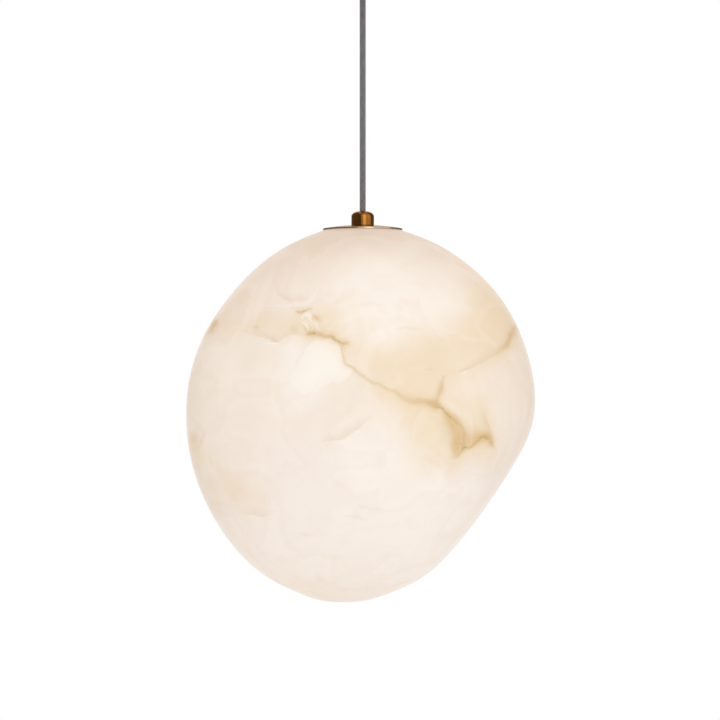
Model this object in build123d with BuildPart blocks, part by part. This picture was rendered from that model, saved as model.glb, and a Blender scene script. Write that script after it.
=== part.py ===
from build123d import *
import os
from math import pi, sqrt

# Alabaster pendant light: a hollow stone pebble that hangs by a textile cord.
# Sizes are real, in millimetres. Z points up, Y points away from the viewer, and
# the origin is on the ceiling, in line with the cord.

# Cord
cord_diameter = 5.4
cord_drop = 188.0
core_diameter = 2.0
core_spread = 1.25

# Clearances and overruns
running_gap = 0.3
thread_gap = 0.05
overrun = 5.0

# Ceiling canopy and its strap
canopy_diameter = 100.0
canopy_height = 24.0
canopy_wall = 1.2
canopy_edge_radius = 6.0
strap_width = 22.0
strap_thickness = 2.0
strap_bend_radius = 3.0
strap_side_gap = 3.0
ear_length = 14.0
slot_spacing = 74.0
slot_length = 10.0
slot_width = 4.6
mains_hole_diameter = 10.0
side_screw_diameter = 4.0
side_screw_depth = 9.0
side_screw_reach = 3.0
side_screw_head_diameter = 7.0
side_screw_head_height = 2.6
side_screw_slot_width = 1.0
side_screw_slot_depth = 1.1

# Cord grip under the canopy
grip_diameter = 16.0
grip_body_height = 7.0
grip_nut_height = 9.5
grip_thread_diameter = 12.6
grip_thread_length = 4.6
grip_floor = 2.0
grip_tail_length = 7.0
knurl_count = 12
knurl_diameter = 1.4
collet_diameter = 9.2
collet_tip_diameter = 7.4
collet_slot_width = 0.8
collet_slot_share = 0.6
nut_floor = 2.2

# Threaded tube parts, all on the same fine thread
tube_diameter = 10.0
tube_bore = 7.0
nut_flats = 14.0
nut_height = 3.5
nut_chamfer = 0.5
washer_diameter = 18.0
washer_thickness = 1.0

# Wiring in the canopy
block_length = 18.0
block_width = 17.0
block_height = 12.0
block_place = 20.0
pole_spacing = 9.0
pole_bore = 3.6
pole_screw_diameter = 3.0
pole_screw_place = 4.5
block_screw_diameter = 3.0
block_screw_head_diameter = 5.4
block_screw_head_height = 1.8
earth_place = 20.0
earth_screw_diameter = 4.0
earth_screw_head_diameter = 6.0
earth_screw_head_height = 2.4
ring_diameter = 8.0
ring_thickness = 1.0
ring_barrel_length = 6.0
ring_barrel_diameter = 3.4
tail_rise = 2.5
lane_pitch = 3.0

# Collar and top cap
collar_diameter = 19.8
collar_height = 12.0
collar_shoulder_height = 4.6
collar_lip = 0.4
collar_thread_depth = 5.4
collar_hole_gap = 0.5
grub_diameter = 3.0
grub_height = 8.2
grub_socket_diameter = 1.5
grub_socket_depth = 1.6
cap_diameter = 69.0
cap_rise = 3.1
cap_edge = 0.5
cap_edge_radius = 0.4
cap_lip_width = 1.0
cap_lip_depth = 0.5
cap_rim_width = 6.5
cap_recess_depth = 0.9
cap_hub_diameter = 24.0
gasket_width = 3.5
gasket_thickness = 0.7

# Stone shade
shade_width = 300.0
shade_depth = 272.0
shade_height = 324.5
shade_wall = 9.5
shade_opening = 56.0
seat_diameter = 92.0
cavity_shift_x = -1.18
cavity_shift_y = -0.11

# Level outlines of the stone, from its ground top to its foot. Each row holds how
# deep it lies as a share of the height, then the centre and the half size across
# as shares of half the width, the same front to back as shares of half the depth,
# and how full its right-hand corners are, where a circle's share is 0.5523.
round_share = 0.5523
stone_shares = (
    (0.0128, 0.000, 0.220, 0.000, 0.243, 0.5523),
    (0.0468, 0.005, 0.405, 0.004, 0.441, 0.5523),
    (0.1060, 0.008, 0.602, 0.009, 0.640, 0.5523),
    (0.1922, 0.010, 0.782, 0.015, 0.809, 0.5523),
    (0.2966, -0.001, 0.916, 0.015, 0.930, 0.5523),
    (0.4132, -0.008, 0.991, 0.009, 0.993, 0.5600),
    (0.5349, -0.021, 0.992, 0.000, 1.000, 0.5900),
    (0.6545, -0.064, 0.905, -0.015, 0.952, 0.6200),
    (0.7650, -0.094, 0.774, -0.029, 0.853, 0.6200),
    (0.8597, -0.105, 0.622, -0.040, 0.702, 0.6100),
    (0.9330, -0.102, 0.447, -0.044, 0.507, 0.5900),
    (0.9755, -0.105, 0.262, -0.048, 0.294, 0.5600),
    (0.9951, -0.110, 0.130, -0.051, 0.147, 0.5523),
    (0.9989, -0.112, 0.053, -0.051, 0.060, 0.5523),
)

# Hanger inside the stone
bar_length = 86.0
bar_width = 18.0
bar_thickness = 3.0
pad_length = 9.0
pad_thickness = 1.5
tube_rise = 5.0
tube_length = 66.0

# Lampholder
holder_engagement = 8.0
holder_neck_diameter = 16.0
holder_neck_height = 6.0
holder_diameter = 40.0
holder_cover_height = 24.0
holder_shoulder_height = 8.0
holder_body_height = 36.0
holder_wall = 1.2
insulator_floor = 10.0
shell_wall = 0.6
shell_length = 20.0
contact_width = 6.0
contact_foot = 10.0
contact_bend = 2.0
contact_reach = 4.0
contact_height = 2.0
contact_sheet = 0.6
holder_screw_diameter = 4.0
holder_screw_height = 4.5
holder_screw_place = 9.0
stop_diameter = 9.6
stop_height = 5.0

# Lamp
lamp_thread_diameter = 26.2
lamp_thread_length = 16.5
lamp_tip_diameter = 9.0
lamp_tip_height = 1.5
lamp_insulator_diameter = 22.0
lamp_insulator_height = 3.7
lamp_neck_diameter = 27.2
holder_mouth_diameter = 31.0
lamp_housing_diameter = 42.0
lamp_housing_height = 18.0
lamp_diameter = 45.0

# Levels, all measured from the ceiling
canopy_floor = -canopy_height
grip_shoulder = canopy_floor - grip_body_height
grip_mouth = grip_shoulder - grip_nut_height
collar_top = grip_mouth - cord_drop
cap_top = collar_top - collar_height
cap_underside = cap_top - cap_rise - cap_edge
ground_level = cap_underside - gasket_thickness
stone_top = ground_level + stone_shares[0][0] * shade_height
cavity_top = stone_top - shade_wall
tube_top = cap_top + tube_rise
tube_foot = tube_top - tube_length
seat_level = cavity_top - stone_shares[0][0] * (shade_height - 2 * shade_wall)
bar_top = seat_level - pad_thickness
bar_underside = bar_top - bar_thickness
cover_top = tube_foot + holder_engagement
cover_foot = cover_top - holder_cover_height
holder_foot = cover_foot - holder_body_height
insulator_face = cover_foot - insulator_floor
lamp_tip_level = insulator_face - contact_height - running_gap
cord_radius = cord_diameter / 2
tube_radius = tube_diameter / 2
core_radius = core_diameter / 2
canopy_inside = canopy_diameter / 2 - canopy_wall
strap_underside = -strap_thickness

os.makedirs("parts", exist_ok=True)


def pebble(width, depth, height, top, shift_x, shift_y):
    """The stone's outline at a given size, as a loft through its level sections."""
    with BuildPart() as body:
        for down, across, half, along, reach, fullness in stone_shares:
            level = top - down * height
            middle_x = shift_x + across * width / 2
            middle_y = shift_y + along * depth / 2
            half_x = half * width / 2
            half_y = reach * depth / 2
            left = (middle_x - half_x, middle_y)
            right = (middle_x + half_x, middle_y)
            front = (middle_x, middle_y - half_y)
            back = (middle_x, middle_y + half_y)
            with BuildSketch(Plane.XY.offset(level)):
                with BuildLine():
                    for start, end, share, sideways in (
                        (back, left, round_share, -1),
                        (left, front, round_share, -1),
                        (front, right, fullness, 1),
                        (right, back, fullness, 1),
                    ):
                        on_side = start in (left, right)
                        run = half_x * share * sideways
                        rise = half_y * share * (1 if end[1] > start[1] else -1)
                        if on_side:
                            leave = (start[0], start[1] + rise)
                            arrive = (end[0] + run, end[1])
                        else:
                            leave = (start[0] + run, start[1])
                            arrive = (end[0], end[1] - rise)
                        Bezier(start, leave, arrive, end)
                make_face()
        loft()
    return body.part


def hex_nut(level, height):
    """A thin hexagon nut on the cord's axis, with its top at the given level."""
    with BuildPart() as nut:
        with BuildSketch(Plane.XY.offset(level - height)):
            RegularPolygon(nut_flats / 2, 6, major_radius=False)
        extrude(amount=height)
        chamfer(nut.edges().filter_by(Plane.XY), length=nut_chamfer)
        with BuildSketch(Plane.XY.offset(level)):
            Circle(tube_radius + thread_gap)
        extrude(amount=-height, mode=Mode.SUBTRACT)
    return nut


def ring(outer, inner, top, height):
    """A flat ring on the cord's axis."""
    with BuildPart() as flat:
        with BuildSketch(Plane.XY.offset(top - height)):
            Circle(outer / 2)
            Circle(inner / 2, mode=Mode.SUBTRACT)
        extrude(amount=height)
    return flat


def wire(*points):
    """A stiff insulated core along straight runs, with its bends as mitres."""
    with BuildPart() as core:
        with BuildLine() as path:
            Polyline(*points)
        with BuildSketch(Plane(origin=path.line @ 0, z_dir=path.line % 0)):
            Circle(core_radius)
        sweep(transition=Transition.RIGHT)
    return core


# Ceiling strap with its down-turned ears
strap_half = canopy_inside - strap_side_gap
with BuildPart() as ceiling_bracket:
    with BuildSketch(Plane.XZ) as strap_profile:
        with Locations((0, -ear_length / 2)):
            Rectangle(2 * strap_half, ear_length)
        fillet(strap_profile.vertices().group_by(Axis.Y)[-1], radius=strap_bend_radius)
        with Locations((0, -(ear_length + strap_thickness + overrun) / 2)):
            Rectangle(
                2 * (strap_half - strap_thickness),
                ear_length - strap_thickness + overrun,
                mode=Mode.SUBTRACT,
            )
    extrude(amount=strap_width / 2, both=True)
    with BuildSketch(Plane.XY):
        with GridLocations(slot_spacing, 0, 2, 1):
            SlotOverall(slot_length, slot_width)
        Circle(mains_hole_diameter / 2)
        with Locations((-block_place, 0)):
            Circle(block_screw_diameter / 2 + thread_gap)
        with Locations((earth_place, 0)):
            Circle(earth_screw_diameter / 2 + thread_gap)
    extrude(amount=-strap_thickness, mode=Mode.SUBTRACT)
    with BuildSketch(Plane.YZ):
        with Locations((0, -side_screw_depth)):
            Circle(side_screw_diameter / 2 + thread_gap)
    extrude(amount=canopy_diameter, both=True, mode=Mode.SUBTRACT)
ceiling_bracket.part.label = "ceiling_bracket"
export_step(ceiling_bracket.part, "parts/ceiling_bracket.step")

# Spun canopy, open towards the ceiling
with BuildPart() as canopy:
    with BuildSketch(Plane.XZ) as canopy_profile:
        with Locations((0, canopy_floor)):
            Rectangle(canopy_diameter / 2, canopy_height, align=(Align.MIN, Align.MIN))
        outer_corner = canopy_profile.vertices().group_by(Axis.Y)[0].sort_by(Axis.X)[-1]
        fillet(outer_corner, radius=canopy_edge_radius)
    revolve(axis=Axis.Z)
    with BuildSketch(Plane.XZ) as hollow_profile:
        with Locations((0, canopy_floor + canopy_wall)):
            Rectangle(canopy_inside, canopy_height, align=(Align.MIN, Align.MIN))
        inner_corner = hollow_profile.vertices().group_by(Axis.Y)[0].sort_by(Axis.X)[-1]
        chamfer(inner_corner, length=(canopy_edge_radius - canopy_wall) / sqrt(2))
    revolve(axis=Axis.Z, mode=Mode.SUBTRACT)
    with BuildSketch(Plane.XY.offset(canopy_floor)):
        Circle(tube_radius + running_gap)
    extrude(amount=canopy_wall + overrun, mode=Mode.SUBTRACT)
    with BuildSketch(Plane.YZ):
        with Locations((0, -side_screw_depth)):
            Circle(side_screw_diameter / 2 + running_gap)
    extrude(amount=canopy_diameter, both=True, mode=Mode.SUBTRACT)
canopy.part.label = "canopy"
export_step(canopy.part, "parts/canopy.step")

# Two screws that hold the canopy to the ears
with BuildPart() as canopy_screws:
    for side in (-1, 1):
        head_face = Plane.YZ.offset(side * (canopy_diameter / 2 + running_gap))
        with BuildSketch(head_face):
            with Locations((0, -side_screw_depth)):
                Circle(side_screw_head_diameter / 2)
        extrude(amount=side * side_screw_head_height)
        with BuildSketch(head_face):
            with Locations((0, -side_screw_depth)):
                Circle(side_screw_diameter / 2)
        inward = canopy_diameter / 2 + running_gap - strap_half + side_screw_reach
        extrude(amount=-side * inward)
        with BuildSketch(head_face.offset(side * side_screw_head_height)):
            with Locations((0, -side_screw_depth)):
                Rectangle(side_screw_head_diameter + overrun, side_screw_slot_width)
        extrude(amount=-side * side_screw_slot_depth, mode=Mode.SUBTRACT)
canopy_screws.part.label = "canopy_screws"
export_step(canopy_screws.part, "parts/canopy_screws.step")

# Grip body: a threaded tail through the canopy, and a socket for the collet
collet_room = collet_diameter / 2 + running_gap
with BuildPart() as grip_stem:
    with BuildSketch(Plane.XY.offset(grip_shoulder)):
        Circle(grip_diameter / 2)
    extrude(amount=grip_body_height)
    with BuildSketch(Plane.XY.offset(canopy_floor)):
        Circle(tube_radius)
    extrude(amount=canopy_wall + grip_tail_length)
    with BuildSketch(Plane.XY.offset(grip_shoulder)):
        Circle(grip_thread_diameter / 2)
    extrude(amount=-grip_thread_length)
    with BuildSketch(Plane.XY.offset(canopy_floor + canopy_wall + grip_tail_length)):
        Circle(cord_radius + running_gap)
    extrude(amount=-canopy_height, mode=Mode.SUBTRACT)
    with BuildSketch(Plane.XY.offset(grip_shoulder - grip_thread_length)):
        Circle(collet_room)
    extrude(
        amount=grip_thread_length + grip_body_height - grip_floor, mode=Mode.SUBTRACT
    )
grip_stem.part.label = "grip_stem"
export_step(grip_stem.part, "parts/grip_stem.step")

grip_washer = ring(
    washer_diameter,
    tube_diameter + 2 * thread_gap,
    canopy_floor + canopy_wall + washer_thickness,
    washer_thickness,
)
grip_washer.part.label = "grip_washer"
export_step(grip_washer.part, "parts/grip_washer.step")

grip_locknut = hex_nut(
    canopy_floor + canopy_wall + washer_thickness + nut_height, nut_height
)
grip_locknut.part.label = "grip_locknut"
export_step(grip_locknut.part, "parts/grip_locknut.step")

# Knurled nut that closes the grip, with the cord's mouth in its floor
with BuildPart() as grip_nut:
    with BuildSketch(Plane.XY.offset(grip_mouth)):
        Circle(grip_diameter / 2)
        with PolarLocations(grip_diameter / 2, knurl_count):
            Circle(knurl_diameter / 2, mode=Mode.SUBTRACT)
    extrude(amount=grip_nut_height)
    with BuildSketch(Plane.XY.offset(grip_mouth)):
        Circle(cord_radius + running_gap)
    extrude(amount=grip_nut_height, mode=Mode.SUBTRACT)
    with BuildSketch(Plane.XY.offset(grip_mouth + nut_floor)):
        Circle(collet_room)
    extrude(amount=grip_nut_height, mode=Mode.SUBTRACT)
    with BuildSketch(Plane.XY.offset(grip_shoulder - grip_thread_length)):
        Circle(grip_thread_diameter / 2 + thread_gap)
    extrude(amount=grip_nut_height, mode=Mode.SUBTRACT)
grip_nut.part.label = "grip_nut"
export_step(grip_nut.part, "parts/grip_nut.step")

# Slotted collet that holds the cord and turns with it
collet_top = canopy_floor - grip_floor - running_gap
collet_foot = grip_mouth + nut_floor + running_gap
with BuildPart() as grip_collet:
    with BuildSketch(Plane.XY.offset(collet_foot)):
        Circle(collet_tip_diameter / 2)
    with BuildSketch(Plane.XY.offset(collet_foot + nut_floor)):
        Circle(collet_diameter / 2)
    loft()
    with BuildSketch(Plane.XY.offset(collet_foot + nut_floor)):
        Circle(collet_diameter / 2)
    extrude(amount=collet_top - collet_foot - nut_floor)
    with BuildSketch(Plane.XY.offset(collet_foot)):
        Circle(cord_radius + thread_gap)
    extrude(amount=collet_top - collet_foot, mode=Mode.SUBTRACT)
    with BuildSketch(Plane.XY.offset(collet_foot)):
        Rectangle(collet_diameter + overrun, collet_slot_width)
        Rectangle(collet_slot_width, collet_diameter + overrun)
    extrude(
        amount=collet_slot_share * (collet_top - collet_foot), mode=Mode.SUBTRACT
    )
grip_collet.part.label = "grip_collet"
export_step(grip_collet.part, "parts/grip_collet.step")

# The cord above the point about which it swings, up through the grip
tail_top = canopy_floor + canopy_wall + grip_tail_length + tail_rise
with BuildPart() as cord_upper_tail:
    with BuildSketch(Plane.XY.offset(tail_top)):
        Circle(cord_radius)
    extrude(amount=grip_mouth + cord_radius + running_gap - tail_top)
cord_upper_tail.part.label = "cord_upper_tail"
export_step(cord_upper_tail.part, "parts/cord_upper_tail.step")

# The free cord, straight under its load, rounded at the top about the swing's centre
with BuildPart() as suspension_cord:
    with BuildSketch(Plane.XY.offset(tube_top)):
        Circle(cord_radius)
    extrude(amount=grip_mouth - tube_top)
    with Locations((0, 0, grip_mouth)):
        Sphere(cord_radius)
suspension_cord.part.label = "suspension_cord"
export_step(suspension_cord.part, "parts/suspension_cord.step")

# Two-pole terminal block under the strap
pole_places = (-block_place - pole_spacing / 2, -block_place + pole_spacing / 2)
block_foot = strap_underside - block_height
pole_level = strap_underside - block_height / 2
with BuildPart() as terminal_block:
    with BuildSketch(Plane.XY.offset(strap_underside)):
        with Locations((-block_place, 0)):
            Rectangle(block_length, block_width)
            Circle(block_screw_diameter / 2 + thread_gap, mode=Mode.SUBTRACT)
    extrude(amount=-block_height)
    with BuildSketch(Plane.XZ):
        for place in pole_places:
            with Locations((place, pole_level)):
                Circle(pole_bore / 2)
    extrude(amount=block_width, both=True, mode=Mode.SUBTRACT)
    with BuildSketch(Plane.XY.offset(block_foot)):
        for place in pole_places:
            with Locations((place, -pole_screw_place), (place, pole_screw_place)):
                Circle(pole_screw_diameter / 2 + thread_gap)
    extrude(amount=block_height / 2, mode=Mode.SUBTRACT)
terminal_block.part.label = "terminal_block"
export_step(terminal_block.part, "parts/terminal_block.step")

with BuildPart() as terminal_screws:
    with BuildSketch(Plane.XY.offset(block_foot)):
        for place in pole_places:
            with Locations((place, -pole_screw_place), (place, pole_screw_place)):
                Circle(pole_screw_diameter / 2)
    extrude(amount=block_height / 2 - core_radius - thread_gap)
terminal_screws.part.label = "terminal_screws"
export_step(terminal_screws.part, "parts/terminal_screws.step")

with BuildPart() as terminal_block_screw:
    with BuildSketch(Plane.XY.offset(block_foot - block_screw_head_height)):
        with Locations((-block_place, 0)):
            Circle(block_screw_head_diameter / 2)
    extrude(amount=block_screw_head_height)
    with BuildSketch(Plane.XY.offset(block_foot)):
        with Locations((-block_place, 0)):
            Circle(block_screw_diameter / 2)
    extrude(amount=block_height + strap_thickness - running_gap)
terminal_block_screw.part.label = "terminal_block_screw"
export_step(terminal_block_screw.part, "parts/terminal_block_screw.step")

# Earth screw with a ring terminal for the cord's earth core
with BuildPart() as earth_screw:
    with BuildSketch(
        Plane.XY.offset(strap_underside - ring_thickness - earth_screw_head_height)
    ):
        with Locations((earth_place, 0)):
            Circle(earth_screw_head_diameter / 2)
    extrude(amount=earth_screw_head_height)
    with BuildSketch(Plane.XY.offset(strap_underside - ring_thickness)):
        with Locations((earth_place, 0)):
            Circle(earth_screw_diameter / 2)
    extrude(amount=ring_thickness + strap_thickness - running_gap)
earth_screw.part.label = "earth_screw"
export_step(earth_screw.part, "parts/earth_screw.step")

barrel_start = earth_screw_head_diameter / 2 + running_gap
barrel_level = strap_underside - ring_barrel_diameter / 2
with BuildPart() as earth_ring_terminal:
    with BuildSketch(Plane.XY.offset(strap_underside)):
        with Locations((earth_place, 0)):
            Circle(ring_diameter / 2)
            Circle(earth_screw_diameter / 2 + thread_gap, mode=Mode.SUBTRACT)
    extrude(amount=-ring_thickness)
    with BuildSketch(Plane.YZ.offset(earth_place - barrel_start)):
        with Locations((0, barrel_level)):
            Circle(ring_barrel_diameter / 2)
    extrude(amount=-ring_barrel_length)
    with BuildSketch(Plane.YZ.offset(earth_place - barrel_start - ring_thickness)):
        with Locations((0, barrel_level)):
            Circle(core_radius + thread_gap)
    extrude(amount=-ring_barrel_length, mode=Mode.SUBTRACT)
earth_ring_terminal.part.label = "earth_ring_terminal"
export_step(earth_ring_terminal.part, "parts/earth_ring_terminal.step")

# Where the three cores leave the cord, seen from above
core_side = core_spread / 2
core_depth = core_spread * sqrt(3) / 2
live_start = (-core_spread, 0)
neutral_start = (core_side, -core_depth)
earth_start = (core_side, core_depth)

# Cores from the cord's upper end to their terminals
block_side = -block_width / 2
near_lane = block_side - lane_pitch
far_lane = near_lane - lane_pitch - core_radius
near_turn = -lane_pitch - 2 * core_diameter
live_core_upper = wire(
    (*live_start, tail_top),
    (*live_start, pole_level),
    (near_turn, near_lane, pole_level),
    (pole_places[1], near_lane, pole_level),
    (pole_places[1], -core_diameter, pole_level),
)
live_core_upper.part.label = "live_core_upper"
export_step(live_core_upper.part, "parts/live_core_upper.step")

neutral_core_upper = wire(
    (*neutral_start, tail_top),
    (*neutral_start, pole_level),
    (near_turn + lane_pitch, far_lane, pole_level),
    (pole_places[0], far_lane, pole_level),
    (pole_places[0], -core_diameter, pole_level),
)
neutral_core_upper.part.label = "neutral_core_upper"
export_step(neutral_core_upper.part, "parts/neutral_core_upper.step")

barrel_mouth = earth_place - barrel_start - ring_barrel_length
earth_core_upper = wire(
    (*earth_start, tail_top),
    (*earth_start, barrel_level),
    (barrel_mouth - core_diameter, 0, barrel_level),
    (barrel_mouth + ring_barrel_length / 2, 0, barrel_level),
)
earth_core_upper.part.label = "earth_core_upper"
export_step(earth_core_upper.part, "parts/earth_core_upper.step")

# Brass collar on the tube's top, domed towards the cord's hole in its crown
collar_radius = collar_diameter / 2
collar_crown_radius = cord_radius + collar_hole_gap + collar_lip
shoulder_level = collar_top - collar_shoulder_height
with BuildPart() as collar:
    with BuildSketch(Plane.XZ):
        with BuildLine():
            Polyline(
                (0, collar_top), (0, cap_top), (collar_radius, cap_top), (collar_radius, shoulder_level)
            )
            EllipticalCenterArc(
                (collar_crown_radius, shoulder_level),
                x_radius=collar_radius - collar_crown_radius,
                y_radius=collar_shoulder_height,
            )
            Line((collar_crown_radius, collar_top), (0, collar_top))
        make_face()
    revolve(axis=Axis.Z)
    with BuildSketch(Plane.XY.offset(cap_top)):
        Circle(cord_radius + collar_hole_gap)
    extrude(amount=collar_height, mode=Mode.SUBTRACT)
    with BuildSketch(Plane.XY.offset(cap_top)):
        Circle(tube_radius + thread_gap)
    extrude(amount=collar_thread_depth, mode=Mode.SUBTRACT)
    with BuildSketch(Plane.XZ):
        with Locations((0, cap_top + grub_height)):
            Circle(grub_diameter / 2 + thread_gap)
    extrude(amount=-collar_diameter, mode=Mode.SUBTRACT)
collar.part.label = "collar"
export_step(collar.part, "parts/collar.step")

# Grub screw at the collar's back, with a hexagon socket
grub_tip = cord_radius + running_gap
grub_head = collar_radius - grub_socket_diameter
with BuildPart() as collar_grub_screw:
    with BuildSketch(Plane.XZ.offset(-grub_tip)):
        with Locations((0, cap_top + grub_height)):
            Circle(grub_diameter / 2)
    extrude(amount=grub_tip - grub_head)
    with BuildSketch(Plane.XZ.offset(-grub_head)):
        with Locations((0, cap_top + grub_height)):
            RegularPolygon(grub_socket_diameter / 2, 6, major_radius=False)
    extrude(amount=grub_socket_depth, mode=Mode.SUBTRACT)
collar_grub_screw.part.label = "collar_grub_screw"
export_step(collar_grub_screw.part, "parts/collar_grub_screw.step")

# Domed top cap: a low dome with a rounded edge and a lip round the gasket,
# relieved underneath round its hub
cap_radius = cap_diameter / 2
cap_crown_radius = (cap_radius**2 + cap_rise**2) / (2 * cap_rise)
recess_radius = cap_radius - cap_rim_width
with BuildPart() as top_cap:
    with BuildSketch(Plane.XY.offset(cap_underside)):
        Circle(cap_radius)
    extrude(amount=cap_rise + cap_edge)
    with Locations((0, 0, cap_top - cap_crown_radius)):
        Sphere(cap_crown_radius, mode=Mode.INTERSECT)
    rims = top_cap.edges().group_by(SortBy.LENGTH)[-1]
    fillet(rims.sort_by(Axis.Z)[-1], radius=cap_edge_radius)
    with BuildSketch(Plane.XY.offset(cap_underside)):
        Circle(cap_radius)
        Circle(cap_radius - cap_lip_width, mode=Mode.SUBTRACT)
    extrude(amount=-cap_lip_depth)
    with BuildSketch(Plane.XY.offset(cap_underside)):
        Circle(recess_radius)
        Circle(cap_hub_diameter / 2, mode=Mode.SUBTRACT)
    extrude(amount=cap_recess_depth, mode=Mode.SUBTRACT)
    with BuildSketch(Plane.XY.offset(cap_underside)):
        Circle(tube_radius + running_gap)
    extrude(amount=cap_rise + cap_edge, mode=Mode.SUBTRACT)
top_cap.part.label = "top_cap"
export_step(top_cap.part, "parts/top_cap.step")

cap_gasket = ring(
    shade_opening + 2 * gasket_width, shade_opening, cap_underside, gasket_thickness
)
cap_gasket.part.label = "cap_gasket"
export_step(cap_gasket.part, "parts/cap_gasket.step")

# Stone shade: the same outline outside and, one wall smaller, inside
outer_stone = pebble(shade_width, shade_depth, shade_height, stone_top, 0, 0)
hollow = pebble(
    shade_width - 2 * shade_wall,
    shade_depth - 2 * shade_wall,
    shade_height - 2 * shade_wall,
    cavity_top,
    cavity_shift_x,
    cavity_shift_y,
)
with BuildPart() as alabaster_shade:
    add(outer_stone)
    add(hollow, mode=Mode.SUBTRACT)
    with BuildSketch(Plane.XY.offset(seat_level)):
        Circle(seat_diameter / 2)
    extrude(amount=-shade_wall, mode=Mode.SUBTRACT)
    with BuildSketch(Plane.XY.offset(ground_level)):
        Circle(shade_opening / 2)
    extrude(amount=-2 * shade_wall, mode=Mode.SUBTRACT)
alabaster_shade.part.label = "alabaster_shade"
export_step(alabaster_shade.part, "parts/alabaster_shade.step")

# Cross bar that carries the stone from inside, on two rubber pads
pad_start = bar_length / 2 - pad_length
with BuildPart() as hanger_bar:
    with BuildSketch(Plane.XY.offset(bar_underside)):
        Circle(bar_length / 2)
        Rectangle(bar_length, bar_width, mode=Mode.INTERSECT)
        Circle(tube_radius + thread_gap, mode=Mode.SUBTRACT)
    extrude(amount=bar_thickness)
hanger_bar.part.label = "hanger_bar"
export_step(hanger_bar.part, "parts/hanger_bar.step")

with BuildPart() as bar_pads:
    with BuildSketch(Plane.XY.offset(bar_top)):
        Circle(bar_length / 2)
        Rectangle(bar_length, bar_width, mode=Mode.INTERSECT)
        Rectangle(2 * pad_start, bar_length, mode=Mode.SUBTRACT)
    extrude(amount=pad_thickness)
bar_pads.part.label = "bar_pads"
export_step(bar_pads.part, "parts/bar_pads.step")

stem = ring(tube_diameter, tube_bore, tube_top, tube_length)
stem.part.label = "stem"
export_step(stem.part, "parts/stem.step")

# Washers and nuts clamp the bar on the tube from both sides
upper_washer = ring(
    washer_diameter, tube_diameter + 2 * thread_gap, bar_top + washer_thickness, washer_thickness
)
lower_washer = ring(
    washer_diameter, tube_diameter + 2 * thread_gap, bar_underside, washer_thickness
)
with BuildPart() as stem_washers:
    add(upper_washer.part)
    add(lower_washer.part)
stem_washers.part.label = "stem_washers"
export_step(stem_washers.part, "parts/stem_washers.step")

upper_nut = hex_nut(bar_top + washer_thickness + nut_height, nut_height)
lower_nut = hex_nut(bar_underside - washer_thickness, nut_height)
with BuildPart() as stem_nuts:
    add(upper_nut.part)
    add(lower_nut.part)
stem_nuts.part.label = "stem_nuts"
export_step(stem_nuts.part, "parts/stem_nuts.step")

# The cord inside the tube, with the ferrule that stops it at the tube's foot
tail_foot = tube_foot - stop_height - washer_thickness
with BuildPart() as cord_lower_tail:
    with BuildSketch(Plane.XY.offset(tail_foot)):
        Circle(cord_radius)
    extrude(amount=tube_top - tail_foot)
cord_lower_tail.part.label = "cord_lower_tail"
export_step(cord_lower_tail.part, "parts/cord_lower_tail.step")

cord_stop = ring(stop_diameter, cord_diameter + 2 * thread_gap, tube_foot, stop_height)
cord_stop.part.label = "cord_stop"
export_step(cord_stop.part, "parts/cord_stop.step")

# Lampholder: brass cover and sleeve round a porcelain body with the screw shell
neck_foot = cover_top - holder_neck_height
shoulder_foot = neck_foot - holder_shoulder_height
holder_inside = holder_diameter / 2 - holder_wall
with BuildPart() as holder_cover:
    with BuildSketch(Plane.XZ):
        with BuildLine():
            Polyline(
                (holder_diameter / 2, shoulder_foot),
                (holder_diameter / 2, cover_foot),
                (0, cover_foot),
                (0, cover_top),
                (holder_neck_diameter / 2, cover_top),
                (holder_neck_diameter / 2, neck_foot),
            )
            Line(
                (holder_neck_diameter / 2, neck_foot),
                (holder_diameter / 2, shoulder_foot),
            )
        make_face()
    revolve(axis=Axis.Z)
    with BuildSketch(Plane.XZ):
        with Locations((0, cover_foot)):
            Rectangle(
                holder_inside,
                shoulder_foot - cover_foot - holder_wall,
                align=(Align.MIN, Align.MIN),
            )
    revolve(axis=Axis.Z, mode=Mode.SUBTRACT)
    with BuildSketch(Plane.XY.offset(shoulder_foot - holder_wall)):
        Circle(holder_neck_diameter / 2)
    extrude(amount=neck_foot - shoulder_foot, mode=Mode.SUBTRACT)
    with BuildSketch(Plane.XY.offset(cover_top)):
        Circle(tube_radius + thread_gap)
    extrude(amount=-holder_cover_height, mode=Mode.SUBTRACT)
holder_cover.part.label = "holder_cover"
export_step(holder_cover.part, "parts/holder_cover.step")

with BuildPart() as holder_body:
    with BuildSketch(Plane.XY.offset(holder_foot)):
        Circle(holder_diameter / 2)
    extrude(amount=holder_body_height)
    with BuildSketch(Plane.XY.offset(holder_foot + holder_wall)):
        Circle(holder_inside)
    extrude(amount=holder_body_height, mode=Mode.SUBTRACT)
    with BuildSketch(Plane.XY.offset(holder_foot)):
        Circle(holder_mouth_diameter / 2)
    extrude(amount=holder_wall, mode=Mode.SUBTRACT)
holder_body.part.label = "holder_body"
export_step(holder_body.part, "parts/holder_body.step")

shell_inside = lamp_thread_diameter / 2 + running_gap
with BuildPart() as holder_insulator:
    with BuildSketch(Plane.XY.offset(holder_foot + holder_wall)):
        Circle(holder_inside - thread_gap)
    extrude(amount=holder_body_height - holder_wall)
    with BuildSketch(Plane.XY.offset(insulator_face)):
        Circle(shell_inside + shell_wall + thread_gap)
    extrude(amount=-holder_body_height, mode=Mode.SUBTRACT)
holder_insulator.part.label = "holder_insulator"
export_step(holder_insulator.part, "parts/holder_insulator.step")

holder_screw_shell = ring(
    2 * (shell_inside + shell_wall), 2 * shell_inside, insulator_face, shell_length
)
holder_screw_shell.part.label = "holder_screw_shell"
export_step(holder_screw_shell.part, "parts/holder_screw_shell.step")

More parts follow.
